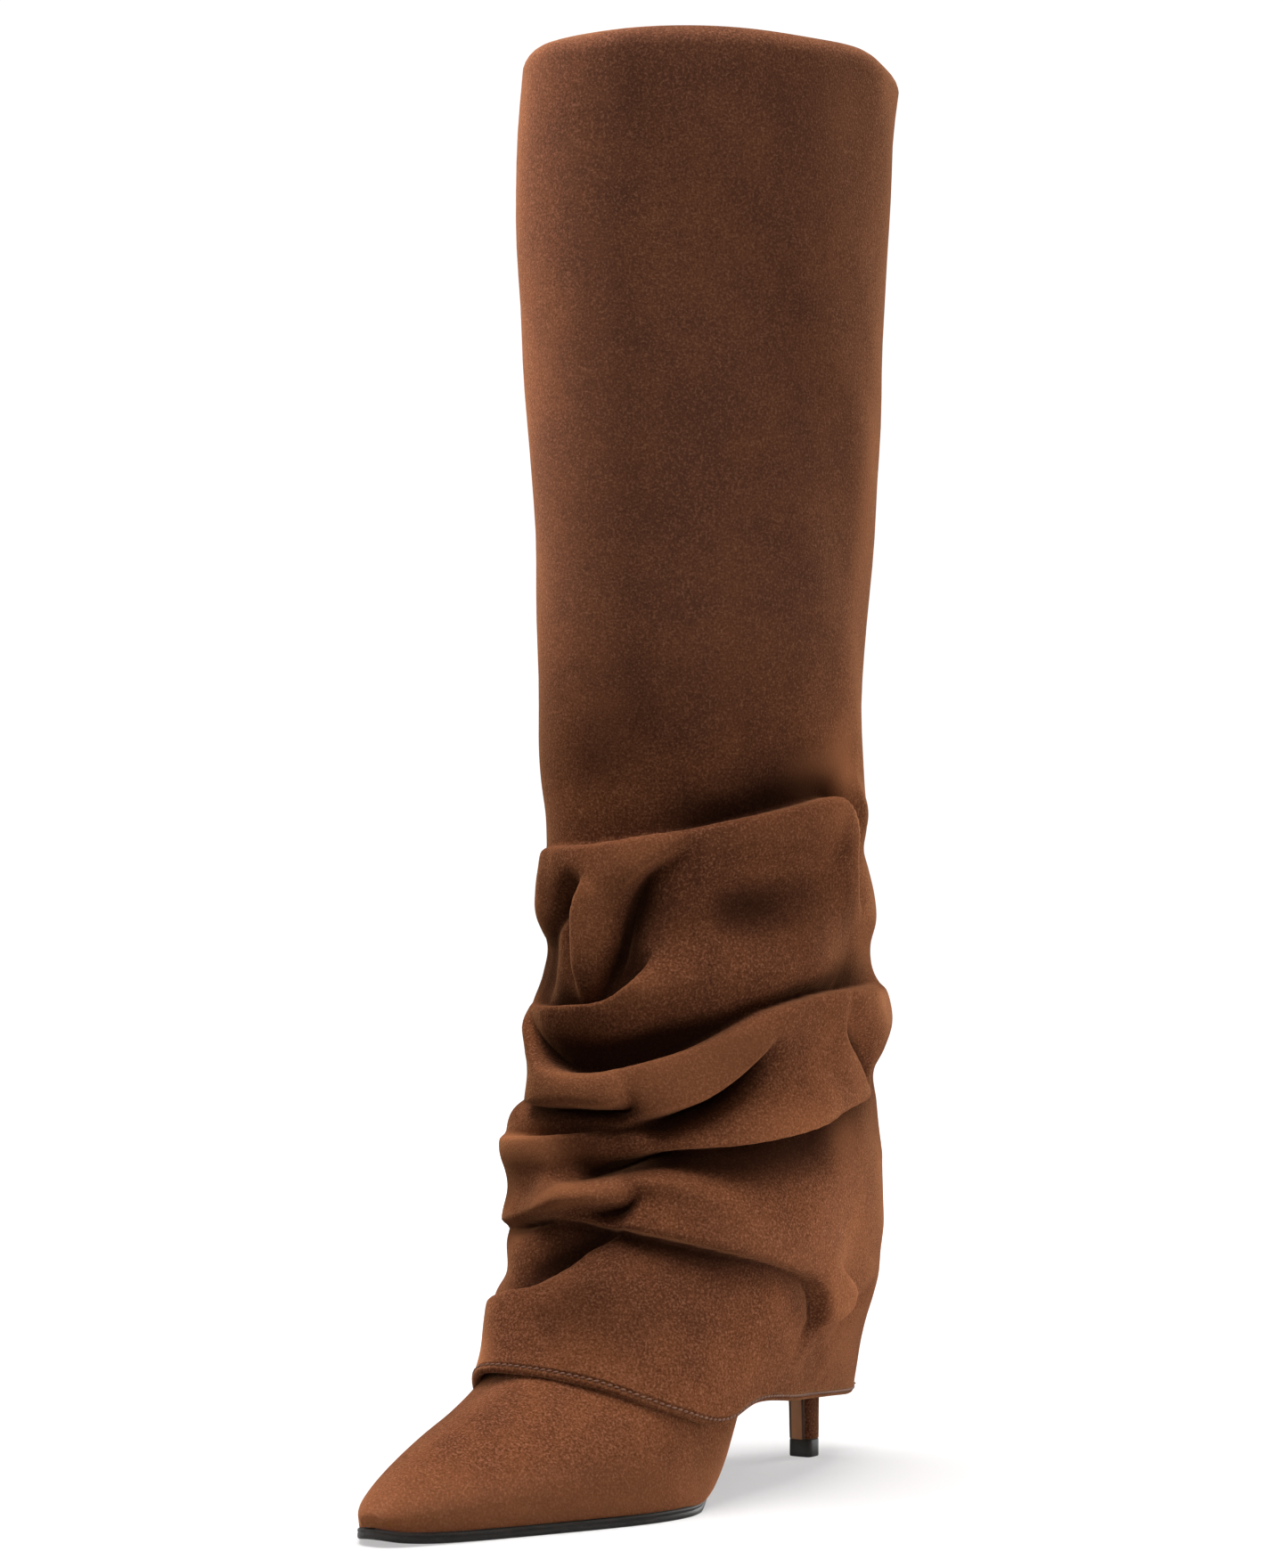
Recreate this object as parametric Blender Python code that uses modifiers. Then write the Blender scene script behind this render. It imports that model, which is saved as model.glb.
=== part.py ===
"""Left dress boot with a fold-over shaft: a pointed vamp on a stiletto heel, an inner leg tube, and an
outer sleeve that rolls over the rim, hangs down and slouches in folds to a thick hem near the floor.

Sizes are in millimetres, turned into metres where a mesh is made. The toe points along -Y and the outer
(lateral) side of the foot faces +X. While modelling, y = 0 is the back of the heel seat and z = 0 the
floor; a root empty then brings the middle of the boot's footprint to the origin.
"""
from collections import namedtuple

import bmesh
import bpy
import numpy as np

MM = 0.001
WELD_DISTANCE = 0.01

# Driving sizes
BOOT_HEIGHT = 450.0
FIT_GAP = 0.3
UPPER_WALL = 1.6
SHAFT_WALL = 1.6
SLEEVE_WALL = 1.8
HEM_WALL = 3.0
SOLE_THICKNESS = 3.0
SOLE_LEDGE = 1.0
INSOLE_THICKNESS = 2.0
LIFT_HEIGHT = 5.7
BREAST_STRIP_THICKNESS = 0.9

# The rolled rim at the top of the sleeve
RIM_RADIUS = 7.5
FACING_DEPTH = 25.0
RIM_CENTRE_HEIGHT = BOOT_HEIGHT - RIM_RADIUS

# How finely the surfaces are drawn
SLEEVE_COLUMNS = 44
SLEEVE_STRAIGHT_ROWS = 6
SLEEVE_SLOUCH_ROWS = 27
RIM_ROWS = 6
FACING_ROWS = 2
LAST_STEP = 0.5
ARCH_TOP_POINTS = 6
ARCH_SIDE_POINTS = 3
SHAFT_COLUMNS = 32
SHAFT_ROWS = 7
HEEL_ROWS = 10
HEEL_COLUMNS = 20

# The last, a row for each section from the toe to the ankle seam.
# bottom: where the section starts on the sole, or up the back of the heel.
# ridge: where it ends on the instep. edges: the feather line at the sole.
# sides: the widest half widths. widest: how far up the section they are.
Last = namedtuple("Last", "bottom_y bottom_z ridge_y ridge_z medial_edge lateral_edge "
                          "medial_side lateral_side widest power")
LAST = (
    Last(-251.0, 6.6, -251.8, 7.8, 9.3, -6.5, 9.5, -6.3, 0.40, 1.9),
    Last(-250.0, 6.4, -251.6, 10.2, 11.6, -3.0, 11.8, -2.4, 0.40, 1.9),
    Last(-246.0, 5.6, -247.2, 14.2, 15.4, 1.0, 15.6, 1.8, 0.38, 1.85),
    Last(-237.0, 4.0, -238.0, 18.6, 20.4, 6.5, 20.6, 7.5, 0.34, 1.8),
    Last(-222.0, 3.0, -223.0, 24.4, 26.6, 14.0, 26.8, 15.0, 0.30, 1.75),
    Last(-205.0, 3.0, -206.0, 30.6, 31.8, 22.3, 32.0, 23.3, 0.27, 1.74),
    Last(-188.0, 3.0, -188.5, 37.6, 35.0, 30.3, 35.2, 31.2, 0.25, 1.77),
    Last(-172.0, 3.0, -172.5, 47.0, 36.6, 35.4, 37.0, 36.3, 0.25, 1.82),
    Last(-158.0, 3.0, -157.0, 60.0, 36.5, 36.8, 37.2, 37.5, 0.25, 1.92),
    Last(-144.0, 4.8, -144.5, 76.0, 34.5, 34.8, 36.5, 36.4, 0.28, 2.0),
    Last(-128.0, 12.5, -133.5, 93.0, 29.5, 31.0, 34.5, 35.0, 0.32, 2.1),
    Last(-110.0, 27.5, -125.5, 110.0, 24.5, 27.5, 33.5, 34.5, 0.36, 2.2),
    Last(-90.0, 46.5, -119.0, 125.0, 21.5, 25.0, 31.0, 33.0, 0.38, 2.2),
    Last(-70.0, 62.8, -114.5, 136.0, 22.0, 24.5, 30.0, 31.5, 0.38, 2.2),
    Last(-52.0, 73.2, -111.5, 143.5, 23.5, 24.5, 29.5, 30.5, 0.36, 2.2),
    Last(-30.0, 78.7, -110.0, 148.0, 24.0, 24.0, 29.5, 30.0, 0.36, 2.2),
    Last(-13.0, 83.0, -109.0, 150.5, 17.5, 17.5, 29.5, 30.0, 0.36, 2.2),
    Last(-4.0, 85.2, -108.5, 152.5, 0.0, 0.0, 29.5, 30.0, 0.36, 2.2),
    Last(-2.8, 98.0, -108.2, 154.0, 0.0, 0.0, 30.5, 31.0, 0.38, 2.2),
    Last(-6.0, 116.0, -108.0, 155.3, 0.0, 0.0, 32.0, 32.5, 0.42, 2.2),
    Last(-10.5, 133.0, -108.0, 156.5, 0.0, 0.0, 33.5, 33.5, 0.46, 2.2),
    Last(-16.0, 150.0, -108.2, 157.5, 0.0, 0.0, 34.5, 34.5, 0.50, 2.2),
)
HEEL_BREAST_ROW = 14.0
INSOLE_FIRST_ROW = 1.5
INSOLE_LAST_ROW = 16.5
INSOLE_EASE = 1.6
TOE_ROWS = 3.0
SEAT_ROW = 14.0
HEEL_END_ROW = 17.0
TOE_TIP_REACH = 1.0

# The inner leg tube, a row for each ring from the ankle seam to the rim.
Ring = namedtuple("Ring", "back_y back_z front_y front_z half_width power")
SHAFT = (
    Ring(-16.3, 151.1, -108.6, 158.7, 34.5, 2.2),
    Ring(-22.0, 172.0, -116.0, 176.0, 35.8, 2.2),
    Ring(-30.0, 200.0, -126.0, 201.0, 38.0, 2.25),
    Ring(-36.0, 238.0, -133.0, 238.0, 40.3, 2.3),
    Ring(-32.3, 330.0, -135.2, 330.0, 42.5, 2.4),
    Ring(-30.2, 444.6, -135.8, 444.6, 44.3, 2.5),
)

# The stiletto heel, a row for each level from the seat to the tip.
Heel = namedtuple("Heel", "breast_y breast_z back_y back_z half_width")
HEEL = (
    Heel(-51.6, 72.6, -5.0, 84.1, 23.8),
    Heel(-45.0, 65.0, -6.6, 75.5, 18.5),
    Heel(-37.0, 54.0, -9.5, 62.0, 12.5),
    Heel(-31.8, 41.0, -12.8, 45.0, 8.4),
    Heel(-28.4, 24.0, -15.9, 25.5, 5.5),
    Heel(-26.4, 6.0, -17.6, 6.0, 4.2),
)
BREAST_POWER = 6.0
BREAST_STRIP_TOP_ROW = 0.7
BREAST_STRIP_WIDTH = 0.62
BREAST_STRIP_POINTS = 4

# The sleeve, a row for each level section from the rim down to the slouch.
Oval = namedtuple("Oval", "height centre_y front back half_width front_power back_power")
SLEEVE = (
    Oval(100.0, -92.0, 61.0, 95.5, 50.0, 2.2, 1.78),
    Oval(140.0, -88.0, 60.0, 82.0, 49.0, 2.3, 1.85),
    Oval(170.0, -87.0, 57.0, 72.0, 47.5, 2.3, 1.9),
    Oval(205.0, -85.0, 55.5, 60.0, 47.0, 2.3, 2.1),
    Oval(235.0, -85.0, 55.0, 55.0, 46.5, 2.3, 2.3),
    Oval(340.0, -84.0, 59.5, 59.5, 51.0, 2.3, 2.3),
    Oval(RIM_CENTRE_HEIGHT, -83.0, 63.5, 63.5, 55.0, 2.3, 2.3),
)
DRAPE_HEIGHT = SLEEVE[0].height
SLOUCH_TOP = 235.0

# The hem, a row for each corner of its loop. turn is the angle about the leg, from the front to the
# lateral side and on round the back.
Hem = namedtuple("Hem", "turn x y height")
HEM = (
    Hem(-180.0, 0.0, 10.0, 18.5),
    Hem(-145.0, -22.0, -28.0, 21.0),
    Hem(-110.0, -36.0, -80.0, 25.0),
    Hem(-70.0, -43.5, -128.0, 27.0),
    Hem(-38.0, -35.0, -168.0, 33.5),
    Hem(-14.0, -15.5, -186.5, 41.0),
    Hem(4.0, 3.0, -187.5, 43.2),
    Hem(22.0, 22.0, -182.0, 41.5),
    Hem(45.0, 39.8, -165.0, 31.5),
    Hem(70.0, 43.5, -136.0, 25.0),
    Hem(100.0, 38.0, -96.0, 27.0),
    Hem(140.0, 23.0, -34.0, 22.5),
    Hem(180.0, 0.0, 10.0, 18.5),
)

# The folds of the sleeve, a row for each. A fold follows a path of (turn in degrees, height) points, which
# are about as far apart as millimetres on the leather. Its ridge stands out on one side of the path and its
# trough sinks in on the other: lip +1 puts the trough above the path, -1 below.
Fold = namedtuple("Fold", "name path ridge trough ridge_width trough_width lip")
FOLDS = (
    Fold("upper lip", ((-38, 199), (-20, 201), (35, 206), (94, 215), (112, 202), (131, 178)),
         5.0, 4.5, 12, 9, 1),
    Fold("long panel", ((-38, 140), (5, 152), (50, 178), (105, 196)), 5.0, 0.0, 20, 9, 1),
    Fold("upper right bulge", ((104, 196), (117, 186), (128, 172)), 5.0, 0.0, 12, 9, 1),
    Fold("front valley", ((2, 154), (9, 168), (18, 184), (30, 194)), 0.0, 7.0, 8, 7, 1),
    Fold("front lip", ((-50, 152), (-13, 150), (4, 152), (14, 160)), 5.0, 5.0, 9, 7, 1),
    Fold("middle roll", ((-24, 139), (-9, 131), (16, 133), (69, 148), (125, 155), (150, 157)),
         7.0, 7.0, 11, 8, 1),
    Fold("middle right bulge", ((106, 150), (122, 144), (134, 131)), 5.0, 0.0, 11, 8, 1),
    Fold("middle left lip", ((-60, 128), (-25, 126), (-10, 121), (12, 123)), 5.0, 6.0, 9, 7, -1),
    Fold("lower roll", ((0, 102), (23, 106), (61, 112), (110, 117), (140, 119)), 6.5, 6.5, 9, 8, -1),
    Fold("left bulge", ((-80, 101), (-50, 103), (-22, 104)), 7.0, 0.0, 10, 8, 1),
    Fold("tongue lip", ((-60, 83), (-29, 85), (-4, 89), (17, 96)), 4.5, 6.0, 8, 7, -1),
    Fold("apron lip", ((-15, 84), (26, 81), (70, 74), (100, 66), (128, 52)), 6.5, 4.0, 14, 9, -1),
    Fold("hem lip", ((-70, 56), (-31, 59), (-7, 66), (13, 77)), 4.0, 5.5, 10, 8, 1),
    Fold("back lip", ((150, 178), (200, 172), (250, 186), (288, 196)), 5.0, 4.0, 11, 9, 1),
    Fold("back roll", ((160, 150), (205, 158), (255, 140), (312, 138)), 5.5, 2.5, 11, 8, 1),
    Fold("back lower roll", ((155, 112), (200, 118), (250, 104), (300, 112)), 5.0, 0.0, 10, 8, -1),
    Fold("back apron", ((140, 66), (195, 78), (245, 72), (300, 82)), 5.0, 3.5, 12, 9, -1),
)
FOLD_SOFTNESS = 7.0
PATH_SAMPLES = 20
FOLD_TAPER = 0.18


def through(rows, at):
    """Read every column of a table at the given values of its first column, on smooth curves."""
    rows = np.array(rows, dtype=float)
    key = rows[:, 0]
    slope = np.gradient(rows, key, axis=0)
    at = np.clip(np.atleast_1d(np.asarray(at, dtype=float)), key[0], key[-1])
    low = np.clip(np.searchsorted(key, at, side="right") - 1, 0, len(key) - 2)
    step = (key[low + 1] - key[low])[:, None]
    t = (at - key[low])[:, None] / step
    return (rows[low] * (2 * t ** 3 - 3 * t ** 2 + 1) + slope[low] * step * (t ** 3 - 2 * t ** 2 + t)
            + rows[low + 1] * (3 * t ** 2 - 2 * t ** 3) + slope[low + 1] * step * (t ** 3 - t ** 2))


def along(rows, at):
    """Read a table at row numbers, which may be fractions: a smooth run through its rows."""
    numbered = [(number,) + tuple(row) for number, row in enumerate(rows)]
    return through(numbered, at)[:, 1:]


def ease(low, high, value):
    """A smooth step from 0 at low to 1 at high."""
    t = np.clip((value - low) / (high - low), 0.0, 1.0)
    return t * t * (3.0 - 2.0 * t)


def material(name, colour, roughness, metallic=0.0):
    """A plain Principled material in the colour of the real finish."""
    made = bpy.data.materials.new(name)
    made.use_nodes = True
    shader = made.node_tree.nodes["Principled BSDF"]
    shader.inputs["Base Color"].default_value = (*colour, 1.0)
    shader.inputs["Roughness"].default_value = roughness
    shader.inputs["Metallic"].default_value = metallic
    return made


def loft(name, grid, finish, collection, root, around=False, ends=False):
    """Skin a grid of points, one row for each section. around joins each row's last point to its first,
    and ends closes the first and last rows with a face."""
    mesh = bpy.data.meshes.new(name)
    shape = bmesh.new()
    rows = [[shape.verts.new(tuple(point * MM)) for point in row] for row in grid]
    count = len(rows[0])
    for lower, upper in zip(rows, rows[1:]):
        for column in range(count if around else count - 1):
            right = (column + 1) % count
            shape.faces.new((lower[column], lower[right], upper[right], upper[column]))
    if ends:
        shape.faces.new(list(reversed(rows[0])))
        shape.faces.new(rows[-1])
    bmesh.ops.remove_doubles(shape, verts=shape.verts, dist=WELD_DISTANCE * MM)
    bmesh.ops.dissolve_degenerate(shape, edges=shape.edges, dist=WELD_DISTANCE * MM / 2)
    shape.to_mesh(mesh)
    shape.free()
    mesh.shade_smooth()
    mesh.materials.append(finish)
    made = bpy.data.objects.new(name, mesh)
    collection.objects.link(made)
    made.parent = root
    return made


def wall(made, thickness, group=None):
    """Give an open surface its thickness, inwards from the surface that was drawn."""
    solid = made.modifiers.new("Wall", "SOLIDIFY")
    solid.thickness = thickness * MM
    solid.offset = -1.0
    solid.use_even_offset = False
    if group:
        solid.vertex_group = group


def sole_top(row):
    """Height of the top of the outsole at row numbers of the last."""
    return np.maximum(along(LAST, row)[:, 1], SOLE_THICKNESS)


def outline(row, inset):
    """Medial and lateral points of the sole's outline at row numbers of the last, drawn in by inset."""
    last = along(LAST, row)
    middle = (last[:, 5] - last[:, 4]) / 2
    half = (last[:, 5] + last[:, 4]) / 2
    half = np.maximum(half + SOLE_LEDGE - inset, FIT_GAP)
    towards_heel = ease(TOE_ROWS, 0.0, row) - ease(SEAT_ROW, HEEL_END_ROW, row)
    return last[:, 0] + (inset - SOLE_LEDGE) * towards_heel, middle - half, middle + half


def arch(row):
    """Points of the upper's outer face across one section, from the medial edge over the ridge to the
    lateral edge. Past the heel seat the two edges meet and the section is a closed ring."""
    section = Last(*along(LAST, row)[0])
    middle = (section.lateral_edge - section.medial_edge) / 2
    half = max((section.lateral_edge + section.medial_edge) / 2, 0.0)
    ridge_x = (section.lateral_side - section.medial_side) / 2
    bottom = np.array((section.bottom_y, section.bottom_z + FIT_GAP))
    ridge = np.array((section.ridge_y, section.ridge_z))
    sides = []
    for edge, side in ((middle - half, -section.medial_side), (middle + half, section.lateral_side)):
        upper = np.linspace(0.0, np.pi / 2, ARCH_TOP_POINTS)
        lower = np.linspace(0.0, np.pi / 2, ARCH_SIDE_POINTS + 1)[1:]
        power = 2 / section.power
        x = np.concatenate((ridge_x + (side - ridge_x) * np.sin(upper) ** power,
                            edge + (side - edge) * np.cos(lower)))
        up = np.concatenate((section.widest + (1 - section.widest) * np.cos(upper) ** power,
                             section.widest * (1 - np.sin(lower))))
        flat = bottom + up[:, None] * (ridge - bottom)
        sides.append(np.column_stack((x, flat)))
    medial, lateral = sides
    return np.concatenate((medial[::-1], lateral[1:]))


def ring(section, columns):
    """One closed ring of the leg tube, lying in the plane through its back and front points."""
    section = Ring(*section)
    turn = np.linspace(0.0, 2 * np.pi, columns, endpoint=False)
    across = np.sign(np.sin(turn)) * np.abs(np.sin(turn)) ** (2 / section.power)
    forward = np.sign(np.cos(turn)) * np.abs(np.cos(turn)) ** (2 / section.power)
    front = np.array((section.front_y, section.front_z))
    back = np.array((section.back_y, section.back_z))
    flat = (front + back) / 2 + forward[:, None] * (front - back) / 2
    return np.column_stack((across * section.half_width, flat))


def oval(turn, height):
    """Points of the sleeve's level sections, at angles turn (degrees, a row) and heights (a column)."""
    section = Oval(*np.moveaxis(through(SLEEVE, height.ravel()), 1, 0)[..., None])
    sideways, forward = np.sin(np.radians(turn)), np.cos(np.radians(turn))
    reach = np.where(forward > 0, section.front, section.back)
    power = np.where(forward > 0, section.front_power, section.back_power)
    round_out = (np.abs(sideways) / section.half_width) ** power + (np.abs(forward) / reach) ** power
    out = round_out ** (-1 / power)
    return np.stack((sideways * out, section.centre_y - forward * out, height + 0 * out), axis=-1)


def fold_shift(fold, turn, height):
    """How far one fold moves the leather out, at points given by turn and height."""
    path = along(fold.path, np.linspace(0, len(fold.path) - 1, PATH_SAMPLES))
    best = np.full(turn.shape, np.inf)
    signed = np.zeros(turn.shape)
    share = np.zeros(turn.shape)
    for lap in (-360.0, 0.0, 360.0):
        for number, (start, end) in enumerate(zip(path, path[1:])):
            run = end - start
            across, up = turn + lap - start[0], height - start[1]
            t = np.clip((across * run[0] + up * run[1]) / (run @ run), 0.0, 1.0)
            off_across, off_up = across - t * run[0], up - t * run[1]
            distance = np.hypot(off_across, off_up)
            nearer = distance < best
            side = np.sign(run[0] * up - run[1] * across)
            best = np.where(nearer, distance, best)
            signed = np.where(nearer, side * distance, signed)
            share = np.where(nearer, (number + t) / (PATH_SAMPLES - 1), share)
    beyond = signed * fold.lip
    trough_side = ease(-FOLD_SOFTNESS, FOLD_SOFTNESS, beyond)
    ends = ease(0.0, FOLD_TAPER, share) * ease(0.0, FOLD_TAPER, 1.0 - share)
    ridge = fold.ridge * np.exp(-(beyond / fold.ridge_width) ** 2) * (1.0 - trough_side)
    trough = fold.trough * np.exp(-(beyond / fold.trough_width) ** 2) * trough_side
    return ends * (ridge - trough)


def grid_normals(grid):
    """Outward directions of a grid whose rows run round the leg and follow one another upwards."""
    round_leg = np.roll(grid, -1, axis=1) - np.roll(grid, 1, axis=1)
    upward = np.gradient(grid, axis=0)
    normal = np.cross(round_leg, upward)
    return normal / np.linalg.norm(normal, axis=-1, keepdims=True)


def sleeve_face():
    """The sleeve's outer face from the hem up to the rim, with its folds."""
    turn = np.linspace(-180.0, 180.0, SLEEVE_COLUMNS, endpoint=False)[None, :]
    slouch = np.linspace(0.0, SLOUCH_TOP, SLEEVE_SLOUCH_ROWS)
    straight = np.linspace(SLOUCH_TOP, RIM_CENTRE_HEIGHT, SLEEVE_STRAIGHT_ROWS)[1:]
    level = np.concatenate((slouch, straight))[:, None]
    grid = oval(turn, np.maximum(level, DRAPE_HEIGHT))
    hem = through(HEM, turn[0])[:, 1:]
    fall = np.clip((DRAPE_HEIGHT - level) / DRAPE_HEIGHT, 0.0, 1.0)[..., None]
    share = np.concatenate((fall * (1 + fall) / 2, fall * (1 + fall) / 2, fall), axis=-1)
    grid = grid + (hem - oval(turn, np.array([[DRAPE_HEIGHT]]))) * share
    height = grid[..., 2]
    shift = sum(fold_shift(fold, turn + 0 * height, height) for fold in FOLDS)
    return grid + grid_normals(grid) * shift[..., None]


def add_fold_over(finish, collection, root):
    """The outer sleeve: hem, slouch, straight leg, rolled rim and inside facing as one wall."""
    face = sleeve_face()
    top = face[-1]
    inward = -grid_normals(face)[-1] * (1, 1, 0)
    inward /= np.linalg.norm(inward, axis=-1, keepdims=True)
    rows = list(face)
    for angle in np.linspace(0.0, np.pi, RIM_ROWS + 1)[1:]:
        rows.append(top + inward * RIM_RADIUS * (1 - np.cos(angle)) + (0, 0, RIM_RADIUS * np.sin(angle)))
    for drop in np.linspace(0.0, FACING_DEPTH, FACING_ROWS + 1)[1:]:
        rows.append(top + inward * 2 * RIM_RADIUS - (0, 0, drop))
    made = loft("fold_over", np.array(rows), finish, collection, root, around=True)
    group = made.vertex_groups.new(name="thickness")
    group.add(range(len(made.data.vertices)), SLEEVE_WALL / HEM_WALL, "REPLACE")
    group.add(range(SLEEVE_COLUMNS), 1.0, "REPLACE")
    wall(made, HEM_WALL, group.name)


def add_upper(finish, collection, root):
    """Vamp, quarters and counter as one wall over the last, open beneath and at the ankle."""
    sections = [arch(row) for row in np.arange(0.0, len(LAST) - 1 + LAST_STEP / 2, LAST_STEP)]
    toe = LAST[0]
    tip = np.array(((toe.lateral_edge - toe.medial_edge) / 2, toe.bottom_y - TOE_TIP_REACH,
                    toe.bottom_z + FIT_GAP))
    sections.insert(0, np.tile(tip, (len(sections[0]), 1)))
    made = loft("upper", np.array(sections), finish, collection, root)
    wall(made, UPPER_WALL)


def add_shaft(finish, collection, root):
    """The inner leg tube."""
    rings = along(SHAFT, np.linspace(0, len(SHAFT) - 1, SHAFT_ROWS))
    made = loft("shaft", np.array([ring(row, SHAFT_COLUMNS) for row in rings]), finish, collection, root,
                around=True)
    wall(made, SHAFT_WALL)


def slab(name, rows, inset, bottom, top, finish, collection, root):
    """A thin layer of the sole between two heights above its top line, over part of the outline."""
    y, medial, lateral = outline(rows, inset)
    line = sole_top(rows)
    corners = ((medial, top), (lateral, top), (lateral, bottom), (medial, bottom))
    grid = np.stack([np.column_stack((x, y, line + height)) for x, height in corners], axis=1)
    return loft(name, grid, finish, collection, root, around=True, ends=True)


def add_outsole(finish, collection, root):
    """The thin sole from the toe to the heel breast, flat under the forefoot."""
    rows = np.arange(0.0, HEEL_BREAST_ROW + LAST_STEP / 2, LAST_STEP)
    slab("outsole", rows, 0.0, -SOLE_THICKNESS, 0.0, finish, collection, root)


def add_insole(finish, collection, root):
    """The sock lining inside the upper, over the outsole and the heel seat."""
    rows = np.arange(INSOLE_FIRST_ROW, INSOLE_LAST_ROW + LAST_STEP / 2, LAST_STEP)
    inset = SOLE_LEDGE + UPPER_WALL + INSOLE_EASE
    slab("insole", rows, inset, FIT_GAP, FIT_GAP + INSOLE_THICKNESS, finish, collection, root)


def d_ring(breast_y, breast_z, back_y, back_z, half_width):
    """One D-shaped ring of the heel: flat at the breast, round at the back."""
    turn = np.linspace(0.0, 2 * np.pi, HEEL_COLUMNS, endpoint=False)
    power = np.where(np.cos(turn) > 0, 2 / BREAST_POWER, 1.0)
    across = np.sign(np.sin(turn)) * np.abs(np.sin(turn)) ** power
    forward = np.sign(np.cos(turn)) * np.abs(np.cos(turn)) ** power
    share = (1 + forward) / 2
    return np.column_stack((across * half_width, back_y + share * (breast_y - back_y),
                            back_z + share * (breast_z - back_z)))


def add_heel(finish, collection, root):
    """The stiletto heel, lofted from the seat down to the tip."""
    levels = along(HEEL, np.linspace(len(HEEL) - 1, 0, HEEL_ROWS))
    loft("heel", np.array([d_ring(*row) for row in levels]), finish, collection, root, around=True, ends=True)


def add_heel_breast(finish, collection, root):
    """The smooth strip down the front of the heel."""
    rows = along(HEEL, np.linspace(len(HEEL) - 1, BREAST_STRIP_TOP_ROW, HEEL_ROWS))
    breast = rows[:, :2]
    run = np.gradient(breast, axis=0)
    out = np.column_stack((-run[:, 1], run[:, 0])) / np.linalg.norm(run, axis=1)[:, None]
    face = breast + out * (FIT_GAP + BREAST_STRIP_THICKNESS)
    across = np.linspace(-BREAST_STRIP_WIDTH, BREAST_STRIP_WIDTH, BREAST_STRIP_POINTS)
    grid = [np.column_stack((across * Heel(*row).half_width, np.tile(point, (len(across), 1))))
            for row, point in zip(rows, face)]
    made = loft("heel_breast", np.array(grid), finish, collection, root)
    wall(made, BREAST_STRIP_THICKNESS)


def add_top_lift(finish, collection, root):
    """The D-shaped tip that the heel stands on."""
    tip = HEEL[-1]
    levels = (0.0, LIFT_HEIGHT)
    rings = [d_ring(tip.breast_y, level, tip.back_y, level, tip.half_width) for level in levels]
    loft("top_lift", np.array(rings), finish, collection, root, around=True, ends=True)


def centre_footprint(root, collection):
    """Move the root so that the middle of the boot's footprint is at the origin."""
    points = np.array([vertex.co for made in collection.objects if made.type == "MESH"
                       for vertex in made.data.vertices])
    middle = (points.min(axis=0) + points.max(axis=0)) / 2
    root.location = (-middle[0], -middle[1], 0.0)


def main():
    for old in list(bpy.data.objects):
        bpy.data.objects.remove(old, do_unlink=True)
    collection = bpy.data.collections.new("dress_boot")
    bpy.context.scene.collection.children.link(collection)
    root = bpy.data.objects.new("boot_root", None)
    collection.objects.link(root)
    suede = material("brown_suede", (0.150, 0.068, 0.032), 0.95)
    lining = material("brown_lining", (0.110, 0.055, 0.030), 0.8)
    tan = material("tan_leather", (0.300, 0.160, 0.080), 0.45)
    black_leather = material("black_leather", (0.012, 0.011, 0.010), 0.4)
    black_rubber = material("black_rubber", (0.014, 0.013, 0.012), 0.6)
    add_outsole(black_leather, collection, root)
    add_insole(tan, collection, root)
    add_heel(suede, collection, root)
    add_heel_breast(tan, collection, root)
    add_top_lift(black_rubber, collection, root)
    add_upper(suede, collection, root)
    add_shaft(lining, collection, root)
    add_fold_over(suede, collection, root)
    centre_footprint(root, collection)


if __name__ == "__main__":
    main()
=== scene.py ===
"""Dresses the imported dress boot: the suede sleeve with its folds and hem, the vamp, the lining, the sole,
the heel with its smooth front strip and its tip, and the row of stitches along the hem.

Sizes in the tables are in millimetres. y = 0 is the back of the heel seat and z = 0 the floor; the toe
points along -Y and the outer side of the foot faces +X. place() turns such points into the frame's own
metres.
"""
import functools
from collections import namedtuple

import bmesh
import bpy
import numpy as np
from mathutils import Matrix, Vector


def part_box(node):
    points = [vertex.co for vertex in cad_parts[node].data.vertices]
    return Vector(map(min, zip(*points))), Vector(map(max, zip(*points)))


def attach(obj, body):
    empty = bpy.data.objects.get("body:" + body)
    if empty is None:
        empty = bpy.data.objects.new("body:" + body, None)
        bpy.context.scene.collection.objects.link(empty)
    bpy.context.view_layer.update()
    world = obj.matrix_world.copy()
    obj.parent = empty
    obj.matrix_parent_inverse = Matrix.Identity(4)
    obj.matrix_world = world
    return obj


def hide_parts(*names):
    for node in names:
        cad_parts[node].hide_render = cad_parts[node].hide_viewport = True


bl_info = {
    "name": "Fold-over dress boot",
    "version": (1, 0, 0),
    "blender": (4, 5, 0),
    "location": "View3D > Sidebar > Boot",
    "description": "Dresses the packed boot in suede, leather and rubber, and sets up its studio",
    "category": "Object",
}

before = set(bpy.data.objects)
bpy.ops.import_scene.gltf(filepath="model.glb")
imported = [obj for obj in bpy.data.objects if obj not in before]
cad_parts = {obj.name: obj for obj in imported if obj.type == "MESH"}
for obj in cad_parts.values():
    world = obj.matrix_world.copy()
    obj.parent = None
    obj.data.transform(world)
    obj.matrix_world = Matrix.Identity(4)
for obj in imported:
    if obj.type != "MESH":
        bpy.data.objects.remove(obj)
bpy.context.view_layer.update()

MM = 0.001
TINY = 1e-9
UPRIGHT = 1e-6
WELD_DISTANCE = 0.005
BODY = "root"

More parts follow.
